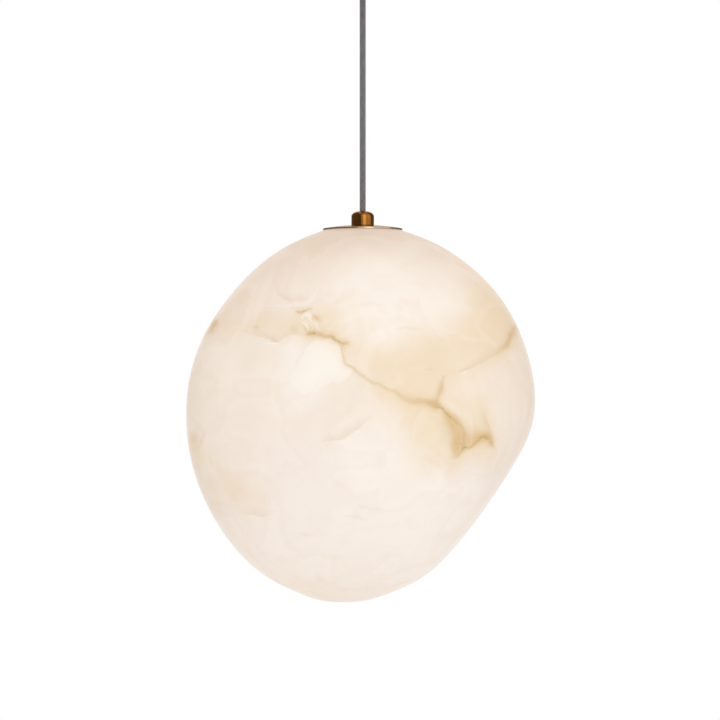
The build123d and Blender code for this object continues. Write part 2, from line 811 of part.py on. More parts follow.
# Sprung centre contact, a bent strip
with BuildPart() as holder_centre_contact:
    with BuildSketch(Plane.XZ):
        with BuildLine():
            Polyline(
                (-contact_foot, insulator_face),
                (-contact_bend, insulator_face),
                (contact_reach, insulator_face - contact_height + contact_sheet),
                (contact_reach, insulator_face - contact_height),
                (-contact_bend, insulator_face - contact_sheet),
                (-contact_foot, insulator_face - contact_sheet),
                close=True,
            )
        make_face()
    extrude(amount=contact_width / 2, both=True)
holder_centre_contact.part.label = "holder_centre_contact"
export_step(holder_centre_contact.part, "parts/holder_centre_contact.step")

with BuildPart() as holder_terminal_screws:
    with BuildSketch(Plane.XY.offset(cover_foot)):
        with Locations(
            (-holder_screw_place, 0), (holder_screw_place, 0), (0, holder_screw_place)
        ):
            Circle(holder_screw_diameter / 2)
    extrude(amount=holder_screw_height)
holder_terminal_screws.part.label = "holder_terminal_screws"
export_step(holder_terminal_screws.part, "parts/holder_terminal_screws.step")

# Cores from the cord's lower end to the holder's screws
landing_level = cover_foot + holder_screw_height / 2
landing = holder_screw_place - holder_screw_diameter / 2 - thread_gap
live_core = wire(
    (*live_start, tail_foot),
    (*live_start, landing_level),
    (-landing, 0, landing_level),
)
live_core.part.label = "live_core"
export_step(live_core.part, "parts/live_core.step")

neutral_core = wire(
    (*neutral_start, tail_foot),
    (*neutral_start, landing_level),
    (landing, -core_depth, landing_level),
)
neutral_core.part.label = "neutral_core"
export_step(neutral_core.part, "parts/neutral_core.step")

earth_core = wire(
    (*earth_start, tail_foot),
    (*earth_start, landing_level),
    (core_side, landing, landing_level),
)
earth_core.part.label = "earth_core"
export_step(earth_core.part, "parts/earth_core.step")

# Lamp, from its tip contact down to its frosted globe
lamp_tip_foot = lamp_tip_level - lamp_tip_height
lamp_cap_top = lamp_tip_foot - lamp_insulator_height
lamp_cap_foot = lamp_cap_top - lamp_thread_length
housing_foot = lamp_cap_foot - lamp_housing_height
with BuildPart() as bulb_tip:
    with BuildSketch(Plane.XY.offset(lamp_tip_foot)):
        Circle(lamp_tip_diameter / 2)
    extrude(amount=lamp_tip_height)
    chamfer(bulb_tip.edges().group_by(Axis.Z)[-1], length=lamp_tip_height / 2)
bulb_tip.part.label = "bulb_tip"
export_step(bulb_tip.part, "parts/bulb_tip.step")

with BuildPart() as bulb_insulator:
    with BuildSketch(Plane.XY.offset(lamp_tip_foot)):
        Circle(lamp_tip_diameter / 2)
    with BuildSketch(Plane.XY.offset(lamp_cap_top)):
        Circle(lamp_insulator_diameter / 2)
    loft()
bulb_insulator.part.label = "bulb_insulator"
export_step(bulb_insulator.part, "parts/bulb_insulator.step")

with BuildPart() as bulb_cap:
    with BuildSketch(Plane.XY.offset(lamp_cap_foot)):
        Circle(lamp_thread_diameter / 2)
    extrude(amount=lamp_thread_length)
    chamfer(
        bulb_cap.edges().group_by(Axis.Z)[-1],
        length=(lamp_thread_diameter - lamp_insulator_diameter) / 2,
    )
bulb_cap.part.label = "bulb_cap"
export_step(bulb_cap.part, "parts/bulb_cap.step")

with BuildPart() as bulb_housing:
    with BuildSketch(Plane.XY.offset(lamp_cap_foot)):
        Circle(lamp_neck_diameter / 2)
    with BuildSketch(Plane.XY.offset(housing_foot)):
        Circle(lamp_housing_diameter / 2)
    loft()
bulb_housing.part.label = "bulb_housing"
export_step(bulb_housing.part, "parts/bulb_housing.step")

globe_radius = lamp_diameter / 2
globe_centre = housing_foot - sqrt(globe_radius**2 - (lamp_housing_diameter / 2) ** 2)
with BuildPart() as bulb_globe:
    with Locations((0, 0, globe_centre)):
        Sphere(globe_radius)
    split(bisect_by=Plane.XY.offset(housing_foot), keep=Keep.BOTTOM)
bulb_globe.part.label = "bulb_globe"
export_step(bulb_globe.part, "parts/bulb_globe.step")

tube_volume = pi * cord_radius**2 * (grip_mouth - tube_top)
print("free cord length", grip_mouth - tube_top, "straight, volume share of its section",
      suspension_cord.part.volume / tube_volume)
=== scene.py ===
from math import cos, pi, sin

import bpy
import numpy as np
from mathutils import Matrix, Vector


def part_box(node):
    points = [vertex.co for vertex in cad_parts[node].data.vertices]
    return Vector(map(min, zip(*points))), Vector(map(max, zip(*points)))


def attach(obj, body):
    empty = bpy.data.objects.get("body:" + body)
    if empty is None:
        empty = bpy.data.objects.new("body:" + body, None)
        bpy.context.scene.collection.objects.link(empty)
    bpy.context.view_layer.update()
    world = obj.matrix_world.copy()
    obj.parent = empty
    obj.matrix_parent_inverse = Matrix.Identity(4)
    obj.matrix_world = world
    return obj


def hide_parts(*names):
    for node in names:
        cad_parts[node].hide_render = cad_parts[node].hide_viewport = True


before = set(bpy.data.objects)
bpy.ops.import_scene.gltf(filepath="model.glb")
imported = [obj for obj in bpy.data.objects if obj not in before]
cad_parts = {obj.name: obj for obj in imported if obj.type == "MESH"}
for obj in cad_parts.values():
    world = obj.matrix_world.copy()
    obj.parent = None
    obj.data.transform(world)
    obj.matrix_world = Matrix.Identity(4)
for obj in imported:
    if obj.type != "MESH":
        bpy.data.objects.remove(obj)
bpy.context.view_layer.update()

# Alabaster pendant light, in metres: a hollow stone pebble on a textile cord.
# Z points up, Y points away from the viewer, and the origin is on the ceiling.
MM = 0.001
stone_low, stone_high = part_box("alabaster_shade")
collar_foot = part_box("collar")[0].z
pure_white = (1, 1, 1, 1)


def new_object(name, data):
    """A new object in the scene, at the origin."""
    made = bpy.data.objects.new(name, data)
    bpy.context.scene.collection.objects.link(made)
    return made


# Camera: the scale is metres for each pixel of the photograph, in the plane of the cord
photo_width = 720
photo_scale = 0.8646 * MM
axis_column = 362.7
collar_foot_row = 225.2
camera_distance = 2.0
sensor_width = 36.0


def photo_x(column):
    """Metres to the right of the cord for a pixel column, in the plane of the cord."""
    return (column - axis_column) * photo_scale


def photo_z(row):
    """The level of a pixel row, in the plane of the cord."""
    return collar_foot - (row - collar_foot_row) * photo_scale


def make_camera():
    """A level camera that frames what the photograph frames."""
    data = bpy.data.cameras.new("camera")
    data.sensor_width = sensor_width
    data.lens = sensor_width * camera_distance / (photo_width * photo_scale)
    camera = new_object("camera", data)
    camera.location = (photo_x(photo_width / 2), -camera_distance, photo_z(photo_width / 2))
    camera.rotation_euler = (pi / 2, 0, 0)
    bpy.context.scene.camera = camera


make_camera()
bpy.context.scene.view_settings.view_transform = "Standard"


# Small helpers for node trees
def linear(red, green, blue):
    """A colour as a node wants it, from its 0 to 255 values on the screen."""
    toe, slope, offset, power = 0.04045, 12.92, 0.055, 2.4
    parts = [value / 255 for value in (red, green, blue)]
    parts = [p / slope if p <= toe else ((p + offset) / (1 + offset)) ** power for p in parts]
    return (*parts, 1.0)


def connect(tree, socket, value):
    """Links a socket to the one that feeds it, or gives it a plain value."""
    if isinstance(value, bpy.types.NodeSocket):
        tree.links.new(value, socket)
    else:
        socket.default_value = value


def add_node(tree, kind, inputs=None, **settings):
    """A new node. An input is a plain value or the socket that feeds it."""
    made = tree.nodes.new(kind)
    for name, value in settings.items():
        setattr(made, name, value)
    for name, value in (inputs or {}).items():
        connect(tree, made.inputs[name], value)
    return made


def calc(tree, operation, *values):
    """The result of a Math node."""
    return add_node(tree, "ShaderNodeMath", dict(enumerate(values)), operation=operation).outputs[0]


def product(tree, value, *factors):
    """A value multiplied by each factor in turn."""
    for factor in factors:
        value = calc(tree, "MULTIPLY", value, factor)
    return value


def raised(tree, base, mask, amount):
    """A value raised by an amount where a mask is 1."""
    return calc(tree, "ADD", base, product(tree, mask, amount))


def swing(tree, value, amount):
    """A noise from 0 to 1 as a swing about zero, half the amount each way."""
    return product(tree, calc(tree, "SUBTRACT", value, 0.5), amount)


def blend(tree, share, first, second, mode="MIX"):
    """A Mix node on two colours, which are its inputs 6 and 7 and its output 2."""
    inputs = {0: share, 6: first, 7: second}
    return add_node(tree, "ShaderNodeMix", inputs, data_type="RGBA", blend_type=mode).outputs[2]


def tint(tree, tone, mask, most, colour):
    """Lays a screen colour over a tone where a mask is 1, by a share at most."""
    return blend(tree, product(tree, mask, most), tone, linear(*colour))


def step(tree, value, low, high):
    """A smooth step from 0 at low to 1 at high."""
    inputs = {"Value": value, "From Min": low, "From Max": high}
    kind = "ShaderNodeMapRange"
    return add_node(tree, kind, inputs, interpolation_type="SMOOTHSTEP").outputs["Result"]


def noise(tree, place, scale, detail, roughness=0.5, distortion=0.0):
    """Noise from 0 to 1 at a number of cells per metre."""
    inputs = {"Vector": place, "Scale": scale, "Detail": detail, "Roughness": roughness,
              "Distortion": distortion}
    return add_node(tree, "ShaderNodeTexNoise", inputs).outputs["Fac"]


def attribute(tree, name):
    """A value stored on the mesh's points."""
    return add_node(tree, "ShaderNodeAttribute", attribute_name=name).outputs["Fac"]


def object_place(tree):
    """The piece's own coordinates."""
    return add_node(tree, "ShaderNodeTexCoord").outputs["Object"]


def parts_of(tree, place):
    """The X, Y and Z of a place."""
    return add_node(tree, "ShaderNodeSeparateXYZ", {"Vector": place}).outputs


def from_axis(tree, parts):
    """How far a place lies from the vertical axis."""
    squares = [calc(tree, "POWER", parts[way], 2.0) for way in ("X", "Y")]
    return calc(tree, "SQRT", calc(tree, "ADD", *squares))


def new_material(name):
    """A new material, its node tree and its Principled shader."""
    material = bpy.data.materials.new(name)
    material.use_nodes = True
    tree = material.node_tree
    return material, tree, tree.nodes["Principled BSDF"]


def feed(tree, node, **inputs):
    """Sets or links a node's sockets, named with underscores for spaces."""
    for name, value in inputs.items():
        connect(tree, node.inputs[name.replace("_", " ")], value)


def bump(tree, height, distance, strength):
    """A normal that stands for a relief, as deep as the distance in metres."""
    inputs = {"Height": height, "Distance": distance, "Strength": strength}
    return add_node(tree, "ShaderNodeBump", inputs).outputs["Normal"]


def new_group(name, inputs, outputs):
    """A shader node group of float sockets, what it is given, and the node for its results."""
    tree = bpy.data.node_groups.new(name, "ShaderNodeTree")
    for title, value in inputs.items():
        socket = tree.interface.new_socket(title, in_out="INPUT", socket_type="NodeSocketFloat")
        socket.default_value = value
    for title in outputs:
        tree.interface.new_socket(title, in_out="OUTPUT", socket_type="NodeSocketFloat")
    return tree, tree.nodes.new("NodeGroupInput").outputs, tree.nodes.new("NodeGroupOutput")


def place_group(tree, group, **inputs):
    """Puts a group into a material, with its own values, and gives its outputs."""
    made = tree.nodes.new("ShaderNodeGroup")
    made.node_tree = group
    feed(tree, made, **inputs)
    return made.outputs


# Effects that several finishes share
def make_patina():
    """Uneven darkening of handled metal: broad clouds broken up by small spots."""
    tree, given, result = new_group("patina", {"Scale": 60.0, "Spread": 0.5}, ("Mask", "Spots"))
    place = object_place(tree)
    broad = noise(tree, place, given["Scale"], detail=4.0, roughness=0.6, distortion=0.4)
    low = calc(tree, "SUBTRACT", 1.0, given["Spread"])
    mask = step(tree, broad, product(tree, low, 0.6), calc(tree, "ADD", low, 0.2))
    fine = noise(tree, place, product(tree, given["Scale"], 12.0), detail=2.0)
    feed(tree, result, Mask=mask, Spots=step(tree, fine, 0.62, 0.72))
    return tree


def make_turning():
    """Fine rings that a lathe or a brush leaves round the vertical axis."""
    tree, given, result = new_group("turning", {"Rings": 2500.0, "Waver": 6.0}, ("Height",))
    parts = parts_of(tree, object_place(tree))
    around = calc(tree, "ARCTAN2", parts["Y"], parts["X"])
    inputs = {
        "X": product(tree, from_axis(tree, parts), given["Rings"]),
        "Y": product(tree, around, calc(tree, "DIVIDE", given["Waver"], pi)),
        "Z": product(tree, parts["Z"], given["Rings"]),
    }
    place = add_node(tree, "ShaderNodeCombineXYZ", inputs).outputs["Vector"]
    feed(tree, result, Height=noise(tree, place, 1.0, detail=2.0))
    return tree


def make_grain():
    """Fine even unevenness, as on cast, moulded or plated faces."""
    tree, given, result = new_group("grain", {"Scale": 900.0}, ("Height", "Cloud"))
    place = object_place(tree)
    fine = noise(tree, place, given["Scale"], detail=4.0, roughness=0.6)
    broad = noise(tree, place, calc(tree, "DIVIDE", given["Scale"], 15.0), detail=2.0)
    feed(tree, result, Height=fine, Cloud=broad)
    return tree


patina = make_patina()
turning = make_turning()
grain = make_grain()

# Light: an even pale surround, a tall soft box and dark screens that only gloss sees
surround_level = 0.91
floor_level = -2.4
floor_radius = 5.0
floor_fade = (0.2, 0.8)
floor_sides = 96
screen_radius = 3.4
screen_top = 8.0
screen_columns = 24


def make_world():
    """A white surround for the camera and for gloss, and a duller one that lights."""
    world = bpy.data.worlds.new("surround")
    bpy.context.scene.world = world
    world.use_nodes = True
    tree = world.node_tree
    tree.nodes.clear()
    path = add_node(tree, "ShaderNodeLightPath").outputs
    seen = path["Is Camera Ray"]
    for kind in ("Is Glossy Ray", "Is Transmission Ray"):
        seen = calc(tree, "MAXIMUM", seen, path[kind])
    dull, bright = (
        add_node(tree, "ShaderNodeBackground", {"Color": pure_white, "Strength": level}).outputs[0]
        for level in (surround_level, 1.0)
    )
    mixed = add_node(tree, "ShaderNodeMixShader", {0: seen, 1: dull, 2: bright})
    add_node(tree, "ShaderNodeOutputWorld", {"Surface": mixed.outputs[0]})


def soft_box(name, place, width, height, level):
    """A soft rectangular light that faces the stone's middle."""
    data = bpy.data.lights.new(name, "AREA")
    data.shape = "RECTANGLE"
    data.size = width
    data.size_y = height
    data.energy = level * pi * width * height
    light = new_object(name, data)
    light.location = place
    towards = Vector((0, 0, (stone_low.z + stone_high.z) / 2)) - light.location
    light.rotation_mode = "QUATERNION"
    light.rotation_quaternion = towards.to_track_quat("-Z", "Y")


def plain_mesh(name, points, faces, material):
    """A mesh object from its points and faces, in one material."""
    mesh = bpy.data.meshes.new(name)
    mesh.from_pydata([tuple(p) for p in points], [], [tuple(f) for f in faces])
    mesh.materials.append(material)
    return new_object(name, mesh)


def make_floor():
    """A pale disc far below, which fades into the white surround."""
    material, tree, shader = new_material("floor_white")
    feed(tree, shader, Base_Color=(0.86, 0.86, 0.86, 1), Roughness=0.9)
    radius = from_axis(tree, parts_of(tree, object_place(tree)))
    start, end = (share * floor_radius for share in floor_fade)
    seen = add_node(tree, "ShaderNodeLightPath").outputs["Is Camera Ray"]
    fade = product(tree, step(tree, radius, start, end), seen)
    bright = add_node(tree, "ShaderNodeEmission").outputs[0]
    mixed = add_node(tree, "ShaderNodeMixShader", {0: fade, 1: shader.outputs[0], 2: bright})
    tree.links.new(mixed.outputs[0], tree.nodes["Material Output"].inputs["Surface"])
    bearings = [2 * pi * n / floor_sides for n in range(floor_sides)]
    ring = [(floor_radius * cos(b), floor_radius * sin(b), floor_level) for b in bearings]
    plain_mesh("floor", ring, [range(floor_sides)], material)


def dark_screen(name, start, end):
    """A curved dark screen round the object between two bearings, that only gloss sees."""
    material, tree, shader = new_material(name + "_black")
    feed(tree, shader, Base_Color=(0.2, 0.2, 0.2, 1), Roughness=1.0, Specular_IOR_Level=0.0)
    bearings = np.radians(np.linspace(start, end, screen_columns))
    foot = [(screen_radius * sin(b), -screen_radius * cos(b), floor_level) for b in bearings]
    head = [(x, y, screen_top) for x, y, _ in foot]
    count = screen_columns
    faces = [(n, n + 1, count + n + 1, count + n) for n in range(count - 1)]
    screen = plain_mesh(name, foot + head, faces, material)
    for kind in ("camera", "diffuse", "transmission", "shadow", "volume_scatter"):
        setattr(screen, "visible_" + kind, False)


make_world()
make_floor()
soft_box("key_box", place=(0.75, -2.2, 0.35), width=1.0, height=2.6, level=1.3)
dark_screen("left_screen", start=-152, end=-14)
dark_screen("right_screen", start=88, end=152)

# The cord's route, straight under its load, with points near its ends
cord_diameter = 5.4 * MM
cord_exit = (0.0, 0.0, -40.5 * MM)
cord_length = 195.0 * MM
near_end = 6 * cord_diameter
cord_points = (
    cord_exit,
    (0.0, 0.0, cord_exit[2] - near_end),
    (0.0, 0.0, cord_exit[2] - cord_length + near_end),
    (0.0, 0.0, cord_exit[2] - cord_length),
)


def cord_line(points):
    """Points along the smooth line that the cord follows."""
    curve = bpy.data.curves.new("cord_line", "CURVE")
    curve.dimensions = "3D"
    spline = curve.splines.new("NURBS")
    spline.points.add(len(points) - 1)
    for point, place in zip(spline.points, points):
        point.co = (*place, 1.0)
    spline.order_u = 3
    spline.use_endpoint_u = True
    spline.resolution_u = 16
    carrier = new_object("cord_line", curve)
    bpy.context.view_layer.update()
    mesh = bpy.data.meshes.new_from_object(carrier)
    line = [tuple(v.co) for v in mesh.vertices]
    bpy.data.objects.remove(carrier)
    return line


# Stone: its level outlines as shares of its size, from its ground top to its foot.
# Each row holds the depth, then the centre and half size across, the same front to
# back, and how full the right-hand corners are. A circle's corners have the round share.
shade_width = 300.0 * MM
shade_depth = 272.0 * MM
shade_height = 324.5 * MM
shade_wall = 9.5 * MM
shade_opening = 56.0 * MM
seat_diameter = 92.0 * MM
seat_rise = 6.4 * MM
cavity_shift = (-1.18 * MM, -0.11 * MM)
stone_columns, outer_rows, inner_rows = 384, 196, 36
sharp_radians = 0.6
round_share = 0.5523
stone_shares = np.array((
    (0.0128, 0.000, 0.220, 0.000, 0.243, round_share),
    (0.0468, 0.005, 0.405, 0.004, 0.441, round_share),
    (0.1060, 0.008, 0.602, 0.009, 0.640, round_share),
    (0.1922, 0.010, 0.782, 0.015, 0.809, round_share),
    (0.2966, -0.001, 0.916, 0.015, 0.930, round_share),
    (0.4132, -0.008, 0.991, 0.009, 0.993, 0.5600),
    (0.5349, -0.021, 0.992, 0.000, 1.000, 0.5900),
    (0.6545, -0.064, 0.905, -0.015, 0.952, 0.6200),
    (0.7650, -0.094, 0.774, -0.029, 0.853, 0.6200),
    (0.8597, -0.105, 0.622, -0.040, 0.702, 0.6100),
    (0.9330, -0.102, 0.447, -0.044, 0.507, 0.5900),
    (0.9755, -0.105, 0.262, -0.048, 0.294, 0.5600),
    (0.9951, -0.110, 0.130, -0.051, 0.147, round_share),
    (0.9989, -0.112, 0.053, -0.051, 0.060, round_share),
))


def curve_through(stations, values, places):
    """A natural cubic curve through values at their stations, read at other places."""
    gaps = np.diff(stations)
    count = len(stations)
    system, load = np.eye(count), np.zeros(count)
    slopes = np.diff(values) / gaps
    for n in range(1, count - 1):
        system[n, n - 1:n + 2] = gaps[n - 1], 2 * (gaps[n - 1] + gaps[n]), gaps[n]
        load[n] = 6 * (slopes[n] - slopes[n - 1])
    bends = np.linalg.solve(system, load)
    index = np.clip(np.searchsorted(stations, places) - 1, 0, count - 2)
    gap, after, before = gaps[index], stations[index + 1] - places, places - stations[index]
    return (
        (bends[index] * after**3 + bends[index + 1] * before**3) / (6 * gap)
        + (values[index] / gap - bends[index] * gap / 6) * after
        + (values[index + 1] / gap - bends[index + 1] * gap / 6) * before
    )


def corner(turn, fullness):
    """How far out a quarter outline has come at a share of its turn."""
    back = 1 - turn
    return 3 * fullness * turn * back**2 + 3 * turn**2 * back + turn**3


def pebble_rings(width, depth, height, top, shift, count, first_row=0):
    """The stone's outline at a given size as level rings of points, from the top down."""
    levels, reach = stone_shares[:, 0] * height, stone_shares[:, 2] * width / 2
    stations = np.concatenate([[0], np.cumsum(np.hypot(np.diff(levels), np.diff(reach)))])
    places = np.linspace(stations[first_row], stations[-1], count)
    down, across, half, along, depth_half, full = (
        curve_through(stations, column, places)[:, None] for column in stone_shares.T
    )
    quarter = stone_columns // 4
    turn = np.arange(quarter)[None, :] / quarter
    plain = np.full_like(full, round_share)
    out_plain, in_plain = corner(turn, plain), corner(1 - turn, plain)
    out_full, in_full = corner(turn, full), corner(1 - turn, full)
    x = np.concatenate([-out_plain, -in_plain, out_full, in_full], axis=1)
    y = np.concatenate([in_plain, -out_plain, -in_full, out_full], axis=1)
    x = shift[0] + (across + half * x) * width / 2
    y = shift[1] + (along + depth_half * y) * depth / 2
    return np.stack([x, y, np.broadcast_to(top - down * height, x.shape)], axis=2)


def level_circle(radius, level):
    """A round ring that starts at the back and runs as the stone's rings do."""
    turn = np.arange(stone_columns) / stone_columns * 2 * pi
    heights = np.full(stone_columns, level)
    return np.stack([-radius * np.sin(turn), radius * np.cos(turn), heights], axis=1)


def skin(name, rings, material):
    """A closed skin over rings that run up the outside and back down the inside."""
    columns = len(rings[0])
    points = np.concatenate([*rings, [rings[0].mean(0)], [rings[-1].mean(0)]])
    faces = []
    for n in range(len(rings) - 1):
        row, after = n * columns, (n + 1) * columns
        for j in range(columns):
            k = (j + 1) % columns
            faces.append((row + j, row + k, after + k, after + j))
    foot, last = len(points) - 2, (len(rings) - 1) * columns
    for j in range(columns):
        k = (j + 1) % columns
        faces.append((foot, k, j))
        faces.append((foot + 1, last + j, last + k))
    made = plain_mesh(name, points, faces, material)
    made.data.shade_smooth()
    made.data.set_sharp_from_angle(angle=sharp_radians)
    return made


# Markings of the stone, drawn by photograph pixels (column, row) on its front.
# A vein's points add its half width in pixels and how dark its heart is.
veins = (
    ((306, 328, 1.0, 0.3), (309, 333, 1.6, 0.9), (312, 334, 1.8, 1.0), (318, 334, 1.4, 0.6),
     (326, 336, 1.3, 0.5), (331, 337, 1.5, 0.8), (333, 338, 1.6, 1.0), (337, 341, 1.2, 0.9),
     (343, 343, 1.4, 0.8), (348, 343, 1.2, 0.3), (351, 342, 0.8, 0.0)),
    ((338, 343, 0.7, 0.2), (341, 349, 0.6, 0.26), (343, 356, 0.8, 0.28), (346, 364, 1.0, 0.42),
     (352, 368, 1.0, 0.4), (357, 372, 1.1, 0.32), (364, 377, 1.1, 0.32), (372, 382, 1.2, 0.36),
     (380, 385, 1.1, 0.26), (387, 389, 1.2, 0.27), (395, 392, 1.3, 0.28), (401, 397, 1.6, 0.28),
     (407, 400, 1.8, 0.3), (413, 402, 2.0, 0.3), (421, 401, 2.0, 0.35), (427, 402, 2.2, 0.45),
     (433, 404, 2.2, 0.55), (438, 406, 1.8, 0.8), (441, 408, 1.4, 0.9), (445, 412, 1.2, 0.7),
     (449, 415, 1.4, 0.9), (453, 419, 1.2, 0.6), (458, 423, 1.3, 0.5), (462, 427, 1.5, 0.4),
     (464, 433, 1.8, 0.35), (464, 440, 1.4, 0.4), (465, 447, 1.2, 0.5)),
    ((452, 458, 1.2, 0.1), (456, 457, 1.4, 0.3), (461, 452, 1.2, 0.5), (464, 448, 1.5, 1.0),
     (470, 447, 1.0, 0.6), (476, 443, 1.2, 0.6), (479, 440, 1.3, 0.9), (482, 437, 1.1, 0.6),
     (487, 437, 1.5, 1.0), (490, 439, 1.0, 0.5), (492, 443, 1.6, 0.45), (494, 449, 0.8, 0.0)),
    ((436, 403, 1.6, 0.3), (438, 397, 1.5, 0.3), (440, 390, 1.4, 0.35), (442, 383, 1.1, 0.3),
     (444, 377, 0.8, 0.2), (449, 375, 0.6, 0.0), (458, 371, 0.7, 0.02), (464, 370, 0.8, 0.25),
     (470, 367, 0.9, 0.1), (478, 364, 1.2, 0.04), (486, 359, 1.6, 0.04), (494, 354, 2.0, 0.08),
     (501, 350, 2.0, 0.16), (506, 346, 2.0, 0.5), (508, 341, 1.6, 0.4), (511, 335, 1.8, 0.45),
     (514, 328, 2.0, 0.4), (518, 320, 1.0, 0.0)),
    ((206, 336, 1.2, 0.1), (211, 330, 1.6, 0.35), (214, 325, 1.4, 0.4), (218, 318, 1.0, 0.0)),
    ((250, 327, 0.8, 0.0), (254, 327, 0.8, 0.12), (257, 328, 1.0, 0.25), (259, 330, 0.8, 0.0)),
    ((270, 341, 0.8, 0.0), (274, 341, 0.8, 0.25), (278, 342, 0.7, 0.15), (281, 342, 0.7, 0.0)),
    ((298, 312, 0.8, 0.5), (302, 312, 0.9, 0.8), (306, 310, 0.8, 0.6), (311, 309, 0.6, 0.2)),
    ((313, 316, 0.8, 0.2), (317, 318, 1.1, 0.55), (320, 321, 0.8, 0.1)),
    ((426, 369, 0.6, 0.12), (431, 369, 0.6, 0.12)),
    ((396, 329, 0.6, 0.05), (410, 328, 0.6, 0.08), (425, 330, 0.5, 0.03)),
    ((346, 516, 0.6, 0.04), (356, 517, 0.7, 0.08), (370, 520, 0.6, 0.02)),
    ((299, 534, 0.6, 0.02), (306, 535, 0.8, 0.08), (315, 534, 0.6, 0.02)),
    ((360, 507, 0.7, 0.06), (371, 508, 0.5, 0.03), (380, 509, 0.6, 0.05)),
)
# A ledge is where one layer of the stone ends: its points add how far the layer's
# shade spreads in pixels and how strong it is, on the left as the path is walked.
ledges = (
    ((318, 442, 8, 0.0), (331, 441, 10, 0.6), (342, 440, 12, 0.8), (347, 436, 13, 0.8),
     (353, 432, 12, 0.7), (360, 429, 12, 0.7), (364, 423, 10, 0.5), (370, 419, 7, 0.3),
     (374, 415, 5, 0.0)),
    ((497, 450, 6, 0.2), (493, 440, 12, 0.9), (490, 426, 14, 0.9), (487, 416, 12, 0.6),
     (484, 410, 8, 0.0)),
    ((238, 513, 6, 0.1), (250, 515, 10, 0.5), (262, 517, 10, 0.6), (269, 514, 8, 0.2)),
    ((275, 287, 6, 0.2), (278, 296, 9, 0.5), (284, 300, 9, 0.6), (297, 301, 8, 0.4),
     (309, 298, 6, 0.0)),
    ((240, 330, 5, 0.1), (250, 334, 8, 0.35), (262, 337, 10, 0.6), (272, 341, 10, 0.7),
     (281, 341, 9, 0.6), (286, 336, 8, 0.5), (296, 334, 8, 0.5), (304, 337, 5, 0.0)),
    ((464, 371, 6, 0.2), (474, 367, 10, 0.4), (486, 361, 12, 0.36), (498, 353, 12, 0.42),
     (505, 347, 8, 0.3)),
    ((193, 452, 5, 0.1), (203, 446, 8, 0.3), (206, 436, 8, 0.4), (202, 424, 8, 0.3),
     (195, 418, 5, 0.1)),
)
# White threads, and the outline of the brightest patch
threads = (
    ((268, 306, 1.2, 0.1), (279, 306, 1.6, 0.4), (290, 305, 1.8, 0.45), (304, 304, 2.0, 0.45),
     (310, 301, 2.4, 0.5), (315, 296, 2.2, 0.4), (316, 291, 1.4, 0.2)),
    ((265, 343, 0.8, 0.4), (274, 344, 1.0, 0.9), (280, 343, 0.8, 0.5)),
    ((302, 316, 1.2, 0.5), (306, 314, 2.0, 0.7), (310, 316, 2.4, 0.75), (311, 320, 1.6, 0.6)),
    ((301, 322, 0.9, 0.5), (305, 324, 1.2, 0.6), (308, 328, 1.4, 0.7), (307, 331, 0.9, 0.3)),
    ((313, 322, 0.9, 0.4), (317, 324, 1.5, 0.6), (316, 328, 1.3, 0.5), (320, 330, 0.8, 0.3)),
    ((463, 374, 0.8, 0.7), (465, 372, 0.9, 0.9)),
    ((293, 400, 0.8, 0.2), (298, 405, 1.0, 0.7), (301, 407, 0.8, 0.3)),
)
bright_patch = ((303, 357), (305, 350), (309, 342), (316, 339), (331, 341), (339, 346), (343, 356),
                (346, 364), (353, 371), (344, 379), (332, 384), (321, 388), (316, 393), (304, 394),
                (291, 384), (289, 376), (297, 368))
# Soft clouds: column, row, radius and strength
ochre_clouds = (
    (446, 412, 3, 0.8), (450, 417, 4, 0.8), (454, 422, 4.5, 0.8), (457, 428, 5, 0.8),
    (459, 435, 5, 0.9), (460, 442, 5, 1.0), (458, 449, 4.5, 0.9), (455, 455, 3.5, 0.8),
    (448, 424, 8, 0.5), (449, 437, 8, 0.5), (452, 449, 6, 0.3), (468, 445, 4, 0.6),
    (474, 441, 4.5, 0.6), (481, 437, 4, 0.7), (487, 438, 4, 0.8), (491, 443, 3.5, 0.7),
    (470, 435, 7, 0.5), (480, 433, 7, 0.45), (476, 424, 8, 0.2), (438, 405, 3.5, 1.0),
    (433, 403, 3.5, 0.9), (427, 402, 3.5, 0.6), (420, 401, 4, 0.6), (412, 400, 4.5, 0.6),
    (404, 396, 4.5, 0.55), (396, 392, 4, 0.35), (430, 412, 8, 0.25), (438, 418, 8, 0.3),
    (296, 326, 6, 0.3), (320, 326, 8, 0.35), (340, 328, 10, 0.25), (441, 390, 3.5, 0.9),
    (438, 396, 5, 0.5), (442, 383, 3, 0.6), (320, 334, 4, 0.6), (328, 335, 4, 0.5), (312, 332, 4, 0.7),
    (343, 343, 4, 0.7), (350, 343, 4, 0.3), (215, 322, 4, 0.9), (211, 330, 4, 0.6), (511, 334, 4, 0.8),
    (507, 343, 4, 0.8), (500, 350, 5, 0.4), (195, 438, 4, 0.7), (197, 428, 3, 0.4), (294, 329, 4, 0.5),
    (316, 318, 4, 0.5), (254, 326, 3, 0.4), (250, 337, 5, 0.3), (275, 340, 3, 0.4), (236, 500, 8, 0.25),
)
